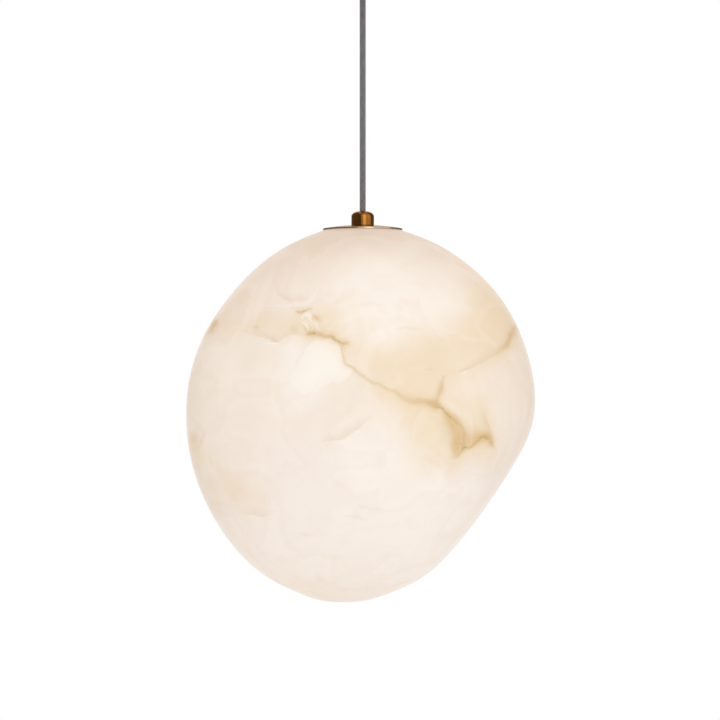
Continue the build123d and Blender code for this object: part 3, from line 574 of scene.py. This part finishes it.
peach_clouds = (
    (352, 340, 14, 0.9), (372, 350, 20, 0.5), (398, 352, 24, 0.5), (430, 345, 28, 0.7),
    (455, 350, 24, 0.6), (425, 372, 22, 0.7), (398, 376, 18, 0.6), (438, 385, 14, 0.6),
    (375, 366, 16, 0.5), (410, 392, 14, 0.7), (330, 322, 16, 0.6), (345, 326, 18, 0.5),
    (300, 322, 14, 0.6), (283, 326, 12, 0.4), (258, 330, 12, 0.7), (244, 334, 10, 0.4),
    (226, 328, 10, 0.6), (218, 334, 12, 0.6), (498, 312, 18, 0.8), (504, 332, 16, 0.9),
    (482, 336, 20, 0.7), (480, 300, 18, 0.4), (484, 356, 12, 0.5), (474, 418, 12, 0.9),
    (484, 424, 10, 0.8), (476, 402, 12, 0.6), (464, 408, 12, 0.6), (482, 436, 10, 0.8),
    (470, 446, 12, 0.5), (488, 452, 12, 0.4), (446, 432, 12, 0.7), (440, 446, 14, 0.6),
    (446, 462, 12, 0.6), (424, 416, 14, 0.6), (412, 408, 12, 0.4), (428, 444, 20, 0.6),
    (412, 462, 20, 0.4), (428, 420, 12, 0.6), (452, 456, 12, 0.5), (480, 446, 12, 0.5),
    (430, 460, 18, 0.4), (476, 410, 14, 0.4), (336, 322, 14, 0.5), (352, 322, 14, 0.4),
    (276, 322, 13, 0.4), (262, 329, 9, 0.35), (316, 331, 10, 0.7), (324, 346, 10, 0.3),
    (388, 400, 14, 0.4), (372, 390, 12, 0.4), (252, 500, 12, 0.35), (240, 492, 12, 0.3),
    (232, 484, 12, 0.2), (262, 508, 7, 0.4), (196, 442, 9, 0.6), (204, 470, 14, 0.5),
    (212, 490, 12, 0.3), (330, 598, 26, 0.6), (280, 588, 18, 0.4), (520, 385, 12, 0.3),
    (520, 440, 14, 0.4), (500, 470, 12, 0.3), (246, 290, 16, 0.35), (234, 306, 14, 0.4),
    (455, 286, 24, 0.5), (478, 300, 18, 0.4), (462, 386, 12, 0.4), (510, 354, 12, 0.5),
    (290, 334, 14, 0.4), (335, 332, 18, 0.4), (352, 330, 16, 0.4), (200, 452, 16, 0.5),
    (222, 462, 16, 0.3), (248, 498, 24, 0.3), (262, 480, 18, 0.2), (224, 356, 10, 0.3),
    (468, 270, 20, 0.5), (300, 252, 20, 0.4), (420, 246, 20, 0.4), (320, 596, 16, 0.3),
    (426, 424, 20, 0.3), (392, 436, 30, 0.22), (308, 327, 12, 0.25), (334, 326, 14, 0.3),
    (358, 326, 12, 0.25), (210, 516, 16, 0.35), (236, 540, 16, 0.3), (222, 488, 18, 0.25),
    (244, 296, 12, 0.2), (240, 456, 18, 0.2),
)
# Milk clouds: pale milky patches of the stone, and at the lower right near the foot painted light that
# brightens where the lighting leaves the stone darker
milk_clouds_and_painted_light = (
    (318, 368, 24, 0.6), (302, 388, 14, 0.6), (400, 298, 40, 0.7), (360, 290, 30, 0.6),
    (450, 300, 24, 0.5), (372, 315, 26, 0.6), (298, 345, 14, 0.5), (270, 370, 22, 0.4),
    (232, 392, 20, 0.5), (470, 392, 20, 0.4), (390, 450, 34, 0.5), (346, 460, 26, 0.5),
    (400, 520, 40, 0.5), (340, 545, 34, 0.4), (290, 408, 20, 0.4), (440, 500, 24, 0.4),
    (458, 530, 26, 0.8), (480, 498, 16, 0.4), (432, 566, 24, 1.0), (208, 352, 16, 0.5),
    (200, 388, 14, 0.4), (234, 330, 8, 0.3), (226, 350, 12, 0.3),
)


# The drawing grows from its middle pixel and runs on past the rim. Behind the turnover
# lies the back's drawing, turned and larger. Distances in pixels are told up to a limit.
stone_middle = np.array((363, 416))
rim_depth = -15.0 * MM
rim_ease = 30.0 * MM
turnover = 40.0 * MM
back_angle, back_growth = np.radians(104), 1.15
back_turn = np.array((
    (cos(back_angle), -sin(back_angle)),
    (sin(back_angle), cos(back_angle)),
)) / back_growth
distance_limit = 40.0


def on_photo(points, side=1):
    """Pixels (column, row) at which points show: seen from the front, or from behind with -1.

    Past the rim the drawing runs on outwards at its own scale. The back bears the same
    kinds of markings, turned and drawn larger."""
    depth = (side * points[:, 1] + camera_distance) / camera_distance
    middle = photo_width / 2
    column = middle + (side * points[:, 0] - photo_x(middle)) / depth / photo_scale
    row = middle - (points[:, 2] - photo_z(middle)) / depth / photo_scale
    outward = np.stack([column, row], axis=1) - stone_middle
    past_rim = np.clip(side * points[:, 1] - rim_depth, 0, None)
    beyond = past_rim**2 / (past_rim + rim_ease) / photo_scale
    outward *= 1 + (beyond / np.maximum(np.hypot(*outward.T), 1.0))[:, None]
    return (outward if side > 0 else outward @ back_turn) + stone_middle


def waver(place, amount, length):
    """Shifts pixel places by a smooth unevenness, so that no cloud is round."""
    x, y = place[:, 0] / length, place[:, 1] / length
    shift = np.stack([
        np.sin(y + 1.3 * np.sin(0.7 * x + 0.5)) + 0.5 * np.sin(2.3 * y - 1.1 * x + 2.0),
        np.sin(x + 1.5 * np.sin(0.8 * y + 1.0)) + 0.5 * np.sin(2.1 * x + 1.4 * y),
    ], axis=1)
    return place + amount * shift


def limited(distance):
    """A distance, told only up to the limit."""
    return np.clip(distance, -distance_limit, distance_limit)


def nearest_path(place, paths, reach):
    """The signed distance, half width, strength and plain distance of the nearest path.

    The nearest is the fewest half widths away. Its strength fades out between reach and
    twice reach half widths."""
    found = np.full((5, len(place)), np.inf)
    for path in paths:
        points = np.array(path, float)
        for start, end in zip(points[:-1], points[1:]):
            along = end[:2] - start[:2]
            share = np.clip((place - start[:2]) @ along / (along @ along), 0, 1)
            gap = place - start[:2] - share[:, None] * along
            distance = np.hypot(gap[:, 0], gap[:, 1])
            half, strong = (start[k] + share * (end[k] - start[k]) for k in (2, 3))
            side = np.where(along[0] * gap[:, 1] - along[1] * gap[:, 0] < 0, 1.0, -1.0)
            here = distance / half, distance, distance * side, half, strong
            found = np.where(here[0] < found[0], here, found)
    ratio, apart, across, width, strength = found
    return limited(across), width, strength * np.clip(2 - ratio / reach, 0, 1), limited(apart)


def inside_outline(place, outline):
    """Signed distance to a closed outline, positive inside."""
    points = np.array([*outline, outline[0]], float)
    distance, turns = np.full(len(place), np.inf), np.zeros(len(place))
    for start, end in zip(points[:-1], points[1:]):
        along, first, second = end - start, start - place, end - place
        share = np.clip((place - start) @ along / (along @ along), 0, 1)
        gap = place - start - share[:, None] * along
        distance = np.minimum(distance, np.hypot(gap[:, 0], gap[:, 1]))
        cross = first[:, 0] * second[:, 1] - first[:, 1] * second[:, 0]
        turns += np.arctan2(cross, (first * second).sum(1))
    return limited(np.where(np.abs(turns) > pi, distance, -distance))


def cloud(place, blobs):
    """How thick soft round blobs lie on pixel places."""
    total = np.zeros(len(place))
    for column, row, radius, strength in blobs:
        distance = ((place - (column, row))**2).sum(1)
        total += strength * np.exp(-distance / (2 * radius**2))
    return total


def markings(place):
    """Every marking's values at pixel places."""
    uneven, slight, rough = waver(place, 2.4, 13.0), waver(place, 0.9, 7.0), waver(place, 0.5, 3.3)
    values = {}
    for name, paths, reach in (("vein", veins, 5), ("ledge", ledges, 1), ("thread", threads, 2)):
        found = nearest_path(rough, paths, reach)
        values.update(zip([name + part for part in ("_across", "_width", "_depth", "_apart")], found))
    values["patch_inside"] = inside_outline(waver(place, 1.4, 5.0), bright_patch)
    for name, blobs, shifted in (
        ("ochre", ochre_clouds, slight), ("peach", peach_clouds, uneven), ("milk_and_painted_light", milk_clouds_and_painted_light, uneven),
    ):
        values[name + "_cloud"] = cloud(shifted, blobs)
    return values


def mark_stone(stone):
    """Stores the markings on the stone's points: the drawn front, and a back of its own."""
    mesh = stone.data
    points = np.empty(len(mesh.vertices) * 3, np.float32)
    mesh.vertices.foreach_get("co", points)
    points = points.reshape(-1, 3).astype(float)
    front, behind = markings(on_photo(points)), markings(on_photo(points, -1))
    before = points[:, 1] < turnover
    shown = np.clip(np.abs(points[:, 1] - turnover) / turnover, 0, 1)
    for name in front:
        values = np.where(before, front[name], behind[name])
        if name.endswith(("_depth", "_cloud")):
            values = values * shown
        if name == "patch_inside":
            values = np.where(before, values, -distance_limit)
        stored = mesh.attributes.new(name, "FLOAT", "POINT")
        stored.data.foreach_set("value", values.astype(np.float32))


# The stone's finish, from its ground colour up: each layer covers the tone below it
# The top rows are painted shade: the crown darkens to grey-beige under the cap, where less lamp light
# reaches.
bands_and_crown_shade = (
    (0.03, (248, 240, 231)), (0.12, (249, 241, 232)), (0.34, (247, 239, 231)),
    (0.55, (245, 234, 220)), (0.72, (245, 234, 220)), (0.84, (244, 232, 219)),
    (0.92, (239, 224, 208)), (0.985, (227, 210, 192)),
)
daylight_share = (0.42, 0.425, 0.44, 1)
lamp_glow = 0.613
polish_tint = (0.95, 0.90, 0.86, 1)


def bands_with_painted_crown_shade(tree, place, broad):
    """Wavering bands from the pale foot to the grey-beige crown; the crown's grey-beige is painted
    shade, where less of the lamp's light reaches the top under the cap.
    """
    share = add_node(tree, "ShaderNodeMapRange", {
        "Value": calc(tree, "ADD", parts_of(tree, place)["Z"], swing(tree, broad, 0.05)),
        "From Min": stone_low.z, "From Max": stone_high.z,
    }).outputs["Result"]
    bands_and_shade = add_node(tree, "ShaderNodeValToRGB", {"Fac": share})
    stops = bands_and_shade.color_ramp.elements
    for height, colour in bands_and_crown_shade:
        stops.new(height).color = linear(*colour)
    stops.remove(stops[0])
    stops.remove(stops[-1])
    return bands_and_shade.outputs["Color"]


def add_clouds(tree, tone, broad, middling):
    """Clouds of peach, milk and ochre, with roughened edges; the milk clouds are partly painted light.
    """
    for name, rough, low, high, most, colour in (
        ("peach", middling, 0.05, 2.1, 0.9, (241, 223, 193)),
        # The milk layer is partly painted light at the lower right near the foot
        ("milk_and_painted_light", broad, 0.15, 1.1, 0.7, (251, 245, 236)),
        ("ochre", middling, 0.1, 1.9, 1.0, (220, 188, 134)),
    ):
        thickness = calc(tree, "ADD", attribute(tree, name + "_cloud"), swing(tree, rough, 0.5))
        tone = tint(tree, tone, step(tree, thickness, low, high), most, colour)
    return tone


def add_marbling(tree, tone, place, broad, middling):
    """Faint marbling all over, and the light and dark edges of drifting layers."""
    drift = noise(tree, place, 15.0, detail=4.0, roughness=0.5, distortion=0.6)
    light_edge = product(tree, step(tree, drift, 0.505, 0.525), step(tree, drift, 0.62, 0.53))
    dark_edge = product(tree, step(tree, drift, 0.50, 0.485), step(tree, drift, 0.40, 0.48))
    for mask, most, colour in (
        (step(tree, middling, 0.42, 0.68), 0.10, (236, 214, 190)),
        (step(tree, broad, 0.52, 0.66), 0.2, (250, 244, 236)),
        (light_edge, 0.15, (252, 247, 240)),
        (dark_edge, 0.07, (226, 204, 180)),
    ):
        tone = tint(tree, tone, mask, most, colour)
    return tone


def add_patch(tree, tone, fine):
    """The bright patch: crisp at its edge, and stronger further in."""
    inside = attribute(tree, "patch_inside")
    edge = calc(tree, "ADD", inside, swing(tree, fine, 4.0))
    strength = raised(tree, 0.45, step(tree, inside, 0.0, 14.0), 0.3)
    return tint(tree, tone, step(tree, edge, -0.6, 1.0), strength, (254, 249, 240))


def fading(tree, value, start, end):
    """1 up to a value, and 0 from another one on."""
    return calc(tree, "SUBTRACT", 1.0, step(tree, value, start, end))


def within(tree, distance, width, inner, outer):
    """1 within some half widths of a path's heart, and 0 beyond others."""
    return fading(tree, calc(tree, "DIVIDE", calc(tree, "ABSOLUTE", distance), width), inner, outer)


def crooked(tree, name, fine, amount):
    """The signed distance to a path, with a little crookedness, in pixels."""
    return calc(tree, "ADD", attribute(tree, name + "_across"), swing(tree, fine, amount))


def add_ledges(tree, tone, fine):
    """Ledges: a shade on one side only."""
    across = crooked(tree, "ledge", fine, 1.6)
    near = within(tree, across, attribute(tree, "ledge_width"), 0.0, 1.0)
    shade = product(tree, near, step(tree, across, -0.3, 0.5), attribute(tree, "ledge_depth"))
    return tint(tree, tone, shade, 0.45, (222, 196, 164))


def add_veins(tree, tone, fine, crumbs):
    """Veins: an ochre bleed round a tan body with a broken brown heart. Gives the body too."""
    across = crooked(tree, "vein", fine, 1.4)
    width, depth, apart = (attribute(tree, "vein_" + part) for part in ("width", "depth", "apart"))
    even_depth, deepest = calc(tree, "POWER", depth, 0.7), calc(tree, "POWER", depth, 2.0)
    close = product(tree, within(tree, apart, width, 3.0, 4.2), fading(tree, apart, 3.5, 5.5))
    bleed = product(tree, within(tree, apart, width, 0.6, 6.0), even_depth)
    body = product(tree, within(tree, across, width, 0.3, 2.4), even_depth, close)
    grains = step(tree, crumbs, 0.45, 0.7)
    heart = product(tree, within(tree, across, width, 0.3, 1.0), deepest, grains, close)
    for mask, most, colour in (
        (bleed, 0.4, (228, 200, 152)), (body, 0.5, (204, 172, 112)), (heart, 0.8, (158, 116, 60)),
    ):
        tone = tint(tree, tone, mask, most, colour)
    return tone, body


def add_threads(tree, tone, fine):
    """White threads and crumbs."""
    across = crooked(tree, "thread", fine, 2.0)
    width, depth, apart = (attribute(tree, "thread_" + part) for part in ("width", "depth", "apart"))
    near, close = within(tree, across, width, 0.5, 1.3), fading(tree, apart, 2.5, 4.5)
    thread = product(tree, near, depth, close)
    return tint(tree, tone, thread, 0.85, (252, 247, 240))


def stone_finish():
    """Polished alabaster: cream bands that darken to a painted shade at the crown, ochre clouds, milk
    clouds that in places are painted light, and brown veins, lit softly from inside.
    """
    material, tree, shader = new_material("alabaster")
    place = object_place(tree)
    broad = noise(tree, place, 16.0, detail=4.0, roughness=0.55, distortion=0.6)
    middling = noise(tree, place, 60.0, detail=5.0, roughness=0.6, distortion=0.3)
    fine = noise(tree, place, 420.0, detail=4.0, roughness=0.65)
    crumbs = noise(tree, place, 900.0, detail=2.0)
    tone = bands_with_painted_crown_shade(tree, place, broad)
    tone = add_clouds(tree, tone, broad, middling)
    tone = add_marbling(tree, tone, place, broad, middling)
    tone = add_patch(tree, tone, fine)
    tone = add_ledges(tree, tone, fine)
    tone, vein_body = add_veins(tree, tone, fine, crumbs)
    tone = add_threads(tree, tone, fine)

    # Part of the light comes from the lamp inside, and the polish warms it at low angles
    surface = blend(tree, 1.0, tone, daylight_share, mode="MULTIPLY")
    relief = calc(tree, "SUBTRACT", product(tree, fine, 0.25), vein_body)
    feed(tree, shader, Base_Color=surface, Specular_IOR_Level=0.25, Emission_Color=tone,
         Emission_Strength=lamp_glow, Coat_Weight=0.6, Coat_Roughness=0.3, Coat_IOR=1.14,
         Coat_Tint=polish_tint, Normal=bump(tree, relief, 0.3 * MM, 0.35),
         Roughness=raised(tree, 0.42, middling, 0.2))
    return material


def make_stone():
    """The shade: one smooth skin outside, round its opening and over the hollow inside."""
    ground = stone_high.z
    top = ground + stone_shares[0, 0] * shade_height
    outer = (shade_width, shade_depth, shade_height)
    inner = [size - 2 * shade_wall for size in outer]
    outside = pebble_rings(*outer, top, (0, 0), outer_rows)
    inside = pebble_rings(*inner, top - shade_wall, cavity_shift, inner_rows, first_row=1)
    seat = top - shade_wall - stone_shares[0, 0] * inner[2]
    mouth = [
        level_circle(diameter / 2, level) for diameter, level in (
            (shade_opening, ground), (shade_opening, seat),
            (seat_diameter, seat), (seat_diameter, seat - seat_rise),
        )
    ]
    stone = skin("alabaster_stone", [*outside[::-1], *mouth, *inside], stone_finish())
    mark_stone(stone)
    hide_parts("alabaster_shade")
    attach(stone, "pendant")


make_stone()


# The textile cord: eight strands of two yarns each way, woven over a core
strands = 8
braid_radius = 2.40 * MM
weave_rise = 0.09 * MM
yarn_radius = 0.21 * MM
yarn_sides = 4
yarn_gap = 1.15 * yarn_radius / braid_radius
core_radius = 2.33 * MM
core_sides = 24
braid_pitch = 18.0 * MM
braid_points = 390


def textile_finish():
    """Grey cotton: each yarn has its own tone, flecked and fuzzy."""
    material, tree, shader = new_material("grey_braid")
    place = object_place(tree)
    flecks = noise(tree, place, 1500.0, detail=2.0)
    fuzz = noise(tree, place, 5200.0, detail=2.0)
    own = product(tree, attribute(tree, "yarn_tone"), 0.45)
    light = calc(tree, "ADD", own, product(tree, flecks, 0.75))
    tone = blend(tree, step(tree, light, 0.42, 0.72), (0.085, 0.082, 0.082, 1), (0.36, 0.35, 0.345, 1))
    tone = blend(tree, product(tree, fuzz, 0.25), tone, (0.03, 0.03, 0.03, 1))
    feed(tree, shader, Base_Color=tone, Roughness=0.85, Specular_IOR_Level=0.2, Sheen_Weight=0.15,
         Normal=bump(tree, fuzz, 0.04 * MM, 0.6))
    return material


def shape_node(tree, kind, inputs=None, **settings):
    """The first output of a geometry node."""
    return add_node(tree, "GeometryNode" + kind, inputs, **settings).outputs[0]


def braid_tree(name, material):
    """Geometry nodes that turn a line into the braid that follows it."""
    tree = bpy.data.node_groups.new(name, "GeometryNodeTree")
    tree.interface.new_socket("Geometry", in_out="INPUT", socket_type="NodeSocketGeometry")
    for title, kind in (("Strands", "Int"), ("Points", "Int"), ("Length", "Float"), ("Pitch", "Float")):
        tree.interface.new_socket(title, in_out="INPUT", socket_type="NodeSocket" + kind)
    tree.interface.new_socket("Geometry", in_out="OUTPUT", socket_type="NodeSocketGeometry")
    given, result = tree.nodes.new("NodeGroupInput").outputs, tree.nodes.new("NodeGroupOutput")
    line = shape_node(tree, "MeshToCurve", {"Mesh": given["Geometry"]})
    line = shape_node(tree, "ResampleCurve", {"Curve": line, "Count": given["Points"]})
    turns = calc(tree, "DIVIDE", given["Length"], given["Pitch"])
    along = shape_node(tree, "SplineParameter")
    angle = product(tree, along, product(tree, turns, 2 * pi))
    rise = calc(tree, "COSINE", product(tree, angle, given["Strands"]))
    yarn = shape_node(tree, "CurvePrimitiveCircle", {"Resolution": yarn_sides, "Radius": yarn_radius})
    joined = tree.nodes.new("GeometryNodeJoinGeometry")
    for layer, way in enumerate((1.0, -1.0)):
        radius = raised(tree, braid_radius, rise, way * weave_rise)
        signed = product(tree, angle, way)
        offset = add_node(tree, "ShaderNodeCombineXYZ", {
            "X": product(tree, radius, calc(tree, "COSINE", signed)),
            "Y": product(tree, radius, calc(tree, "SINE", signed)),
        }).outputs[0]
        strand = shape_node(tree, "SetPosition", {"Geometry": line, "Offset": offset})
        tube = shape_node(tree, "CurveToMesh", {
            "Curve": strand, "Profile Curve": yarn, "Fill Caps": True,
        })
        for twin, beside in enumerate((-yarn_gap, yarn_gap)):
            spots = shape_node(tree, "MeshLine", {"Count": given["Strands"], "Offset": (0, 0, 0)})
            share = calc(tree, "DIVIDE", shape_node(tree, "InputIndex"), given["Strands"])
            bearing = calc(tree, "ADD", product(tree, share, 2 * pi), beside)
            turned = add_node(tree, "ShaderNodeCombineXYZ", {"Z": bearing}).outputs[0]
            copies = shape_node(tree, "InstanceOnPoints", {
                "Points": spots, "Instance": tube, "Rotation": turned,
            })
            chance = add_node(tree, "FunctionNodeRandomValue", {"Seed": 2 * layer + twin},
                              data_type="FLOAT").outputs[1]
            marked = shape_node(tree, "StoreNamedAttribute", {
                "Geometry": copies, "Name": "yarn_tone", "Value": chance,
            }, data_type="FLOAT", domain="INSTANCE")
            whole = shape_node(tree, "RealizeInstances", {"Geometry": marked})
            tree.links.new(whole, joined.inputs[0])
    ring = shape_node(tree, "CurvePrimitiveCircle", {"Resolution": core_sides, "Radius": core_radius})
    core = shape_node(tree, "CurveToMesh", {"Curve": line, "Profile Curve": ring, "Fill Caps": True})
    tree.links.new(core, joined.inputs[0])
    smooth = shape_node(tree, "SetShadeSmooth", {"Geometry": joined.outputs[0]})
    painted = shape_node(tree, "SetMaterial", {"Geometry": smooth, "Material": material})
    tree.links.new(painted, result.inputs[0])
    return tree


def grown_mesh(name, source, tree, **values):
    """The plain mesh that a geometry node tree grows from another mesh."""
    carrier = new_object(name, source)
    modifier = carrier.modifiers.new("grow", "NODES")
    modifier.node_group = tree
    for item in tree.interface.items_tree:
        if item.in_out == "INPUT" and item.name in values:
            modifier[item.identifier] = values[item.name]
    shown = carrier.evaluated_get(bpy.context.evaluated_depsgraph_get())
    mesh = bpy.data.meshes.new_from_object(shown)
    bpy.data.objects.remove(carrier)
    return new_object(name, mesh)


def make_cord(material):
    """The free cord: a braid along its route, which ends in the grip and in the collar."""
    line = cord_line(cord_points)
    path = bpy.data.meshes.new("cord_path")
    path.from_pydata(line, [(n, n + 1) for n in range(len(line) - 1)], [])
    cord = grown_mesh("textile_cord", path, braid_tree("braid", material), Strands=strands,
                      Points=braid_points, Length=cord_length, Pitch=braid_pitch)
    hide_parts("suspension_cord")
    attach(cord, "pendant")


grey_braid = textile_finish()
make_cord(grey_braid)


# Finishes of the machined, moulded and wired pieces
def brass_finish():
    """Aged brass under clear lacquer."""
    material, tree, shader = new_material("aged_brass")
    worn = place_group(tree, patina, Scale=90.0, Spread=0.45)
    lines = place_group(tree, turning, Rings=2600.0, Waver=5.0)
    tone = blend(tree, worn["Mask"], (0.29, 0.106, 0.016, 1), (0.46, 0.186, 0.034, 1))
    tone = blend(tree, product(tree, worn["Spots"], 0.5), tone, (0.10, 0.045, 0.014, 1))
    height = lines["Height"]
    feed(tree, shader, Base_Color=tone, Metallic=1.0, Coat_Weight=0.15, Coat_Roughness=0.12,
         Roughness=raised(tree, 0.13, height, 0.12), Normal=bump(tree, height, 0.02 * MM, 0.5))
    return material


def metal_finish(name, first, second, roughness, rings=2000.0, edge_tint=pure_white):
    """Bare or plated metal with the fine rings of its making."""
    material, tree, shader = new_material(name)
    worn = place_group(tree, patina, Scale=140.0, Spread=0.5)
    lines = place_group(tree, turning, Rings=rings, Waver=8.0)
    tone = blend(tree, worn["Mask"], first, second)
    rough = raised(tree, roughness, worn["Spots"], 0.12)
    feed(tree, shader, Base_Color=tone, Metallic=1.0, Roughness=rough, Specular_Tint=edge_tint,
         Normal=bump(tree, lines["Height"], 0.02 * MM, 0.4))
    return material


def moulded_finish(name, first, second, roughness, coat=0.0):
    """Plastic, rubber or porcelain: a plain body colour with a little unevenness."""
    material, tree, shader = new_material(name)
    uneven = place_group(tree, grain, Scale=1100.0)
    tone = blend(tree, uneven["Cloud"], first, second)
    rough = raised(tree, roughness, uneven["Height"], 0.12)
    feed(tree, shader, Base_Color=tone, Roughness=rough, Coat_Weight=coat,
         Normal=bump(tree, uneven["Height"], 0.03 * MM, 0.4))
    return material


def clear_rubber_finish():
    """Clear silicone, a little milky."""
    material, tree, shader = new_material("clear_rubber")
    uneven = place_group(tree, grain, Scale=900.0)
    tone = blend(tree, uneven["Cloud"], (0.80, 0.80, 0.76, 1), (0.88, 0.88, 0.85, 1))
    feed(tree, shader, Base_Color=tone, Transmission_Weight=0.55, IOR=1.42,
         Roughness=raised(tree, 0.25, uneven["Height"], 0.15))
    return material


def earth_core_finish():
    """Green with a yellow stripe that winds along the core."""
    material, tree, shader = new_material("green_yellow_insulation")
    place = object_place(tree)
    stripes = add_node(tree, "ShaderNodeTexWave", {
        "Vector": place, "Scale": 60.0, "Distortion": 1.0, "Detail": 1.0,
    }, wave_type="BANDS", bands_direction="DIAGONAL").outputs["Fac"]
    tone = blend(tree, step(tree, stripes, 0.55, 0.6), (0.03, 0.22, 0.05, 1), (0.75, 0.62, 0.04, 1))
    feed(tree, shader, Base_Color=tone, Roughness=0.45)
    return material


def lamp_glass_finish():
    """Frosted glass with the lamp lit behind it."""
    material, tree, shader = new_material("lit_frosted_glass")
    uneven = place_group(tree, grain, Scale=700.0)
    tone = blend(tree, uneven["Cloud"], (0.90, 0.88, 0.84, 1), (0.95, 0.94, 0.91, 1))
    feed(tree, shader, Base_Color=tone, Roughness=0.4, Emission_Color=(1.0, 0.83, 0.62, 1),
         Emission_Strength=2.0, Normal=bump(tree, uneven["Height"], 0.03 * MM, 0.3))
    return material


# Every CAD node with its finish, those that the stone and the braid replace too
finishes = (
    (brass_finish(), (
        "canopy", "canopy_screws", "grip_stem", "grip_nut", "holder_cover", "holder_body", "collar",
    )),
    (metal_finish("pale_polished_brass", (0.65, 0.47, 0.29, 1), (0.57, 0.40, 0.23, 1), 0.2,
                  rings=2600.0, edge_tint=(0.60, 0.50, 0.40, 1)), ("top_cap",)),
    (metal_finish("zinc_steel", (0.56, 0.57, 0.59, 1), (0.44, 0.45, 0.47, 1), 0.32), (
        "ceiling_bracket", "grip_locknut", "grip_washer", "terminal_screws", "terminal_block_screw",
        "earth_screw", "earth_ring_terminal", "hanger_bar", "stem", "stem_nuts", "stem_washers",
        "cord_stop", "collar_grub_screw",
    )),
    (metal_finish("plain_brass", (0.72, 0.50, 0.20, 1), (0.58, 0.38, 0.14, 1), 0.28), (
        "holder_screw_shell", "holder_centre_contact", "holder_terminal_screws", "bulb_tip",
    )),
    (metal_finish("nickelled_aluminium", (0.66, 0.65, 0.62, 1), (0.56, 0.55, 0.53, 1), 0.26),
     ("bulb_cap",)),
    (moulded_finish("white_polymer", (0.78, 0.78, 0.76, 1), (0.84, 0.84, 0.82, 1), 0.38),
     ("terminal_block", "grip_collet", "bulb_housing")),
    (moulded_finish("porcelain", (0.80, 0.78, 0.73, 1), (0.86, 0.84, 0.80, 1), 0.16, coat=0.5),
     ("holder_insulator",)),
    (moulded_finish("black_glass", (0.012, 0.012, 0.016, 1), (0.03, 0.03, 0.035, 1), 0.08),
     ("bulb_insulator",)),
    (moulded_finish("brown_insulation", (0.11, 0.045, 0.02, 1), (0.14, 0.06, 0.03, 1), 0.42),
     ("live_core", "live_core_upper")),
    (moulded_finish("blue_insulation", (0.02, 0.11, 0.42, 1), (0.03, 0.15, 0.50, 1), 0.42),
     ("neutral_core", "neutral_core_upper")),
    (earth_core_finish(), ("earth_core", "earth_core_upper")),
    (clear_rubber_finish(), ("cap_gasket", "bar_pads")),
    (lamp_glass_finish(), ("bulb_globe",)),
    (grey_braid, ("suspension_cord", "cord_upper_tail", "cord_lower_tail")),
    (moulded_finish("plain_alabaster", (0.80, 0.72, 0.62, 1), (0.86, 0.80, 0.72, 1), 0.45),
     ("alabaster_shade",)),
)
for finish, names in finishes:
    for name in names:
        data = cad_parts[name].data
        data.materials.clear()
        data.materials.append(finish)
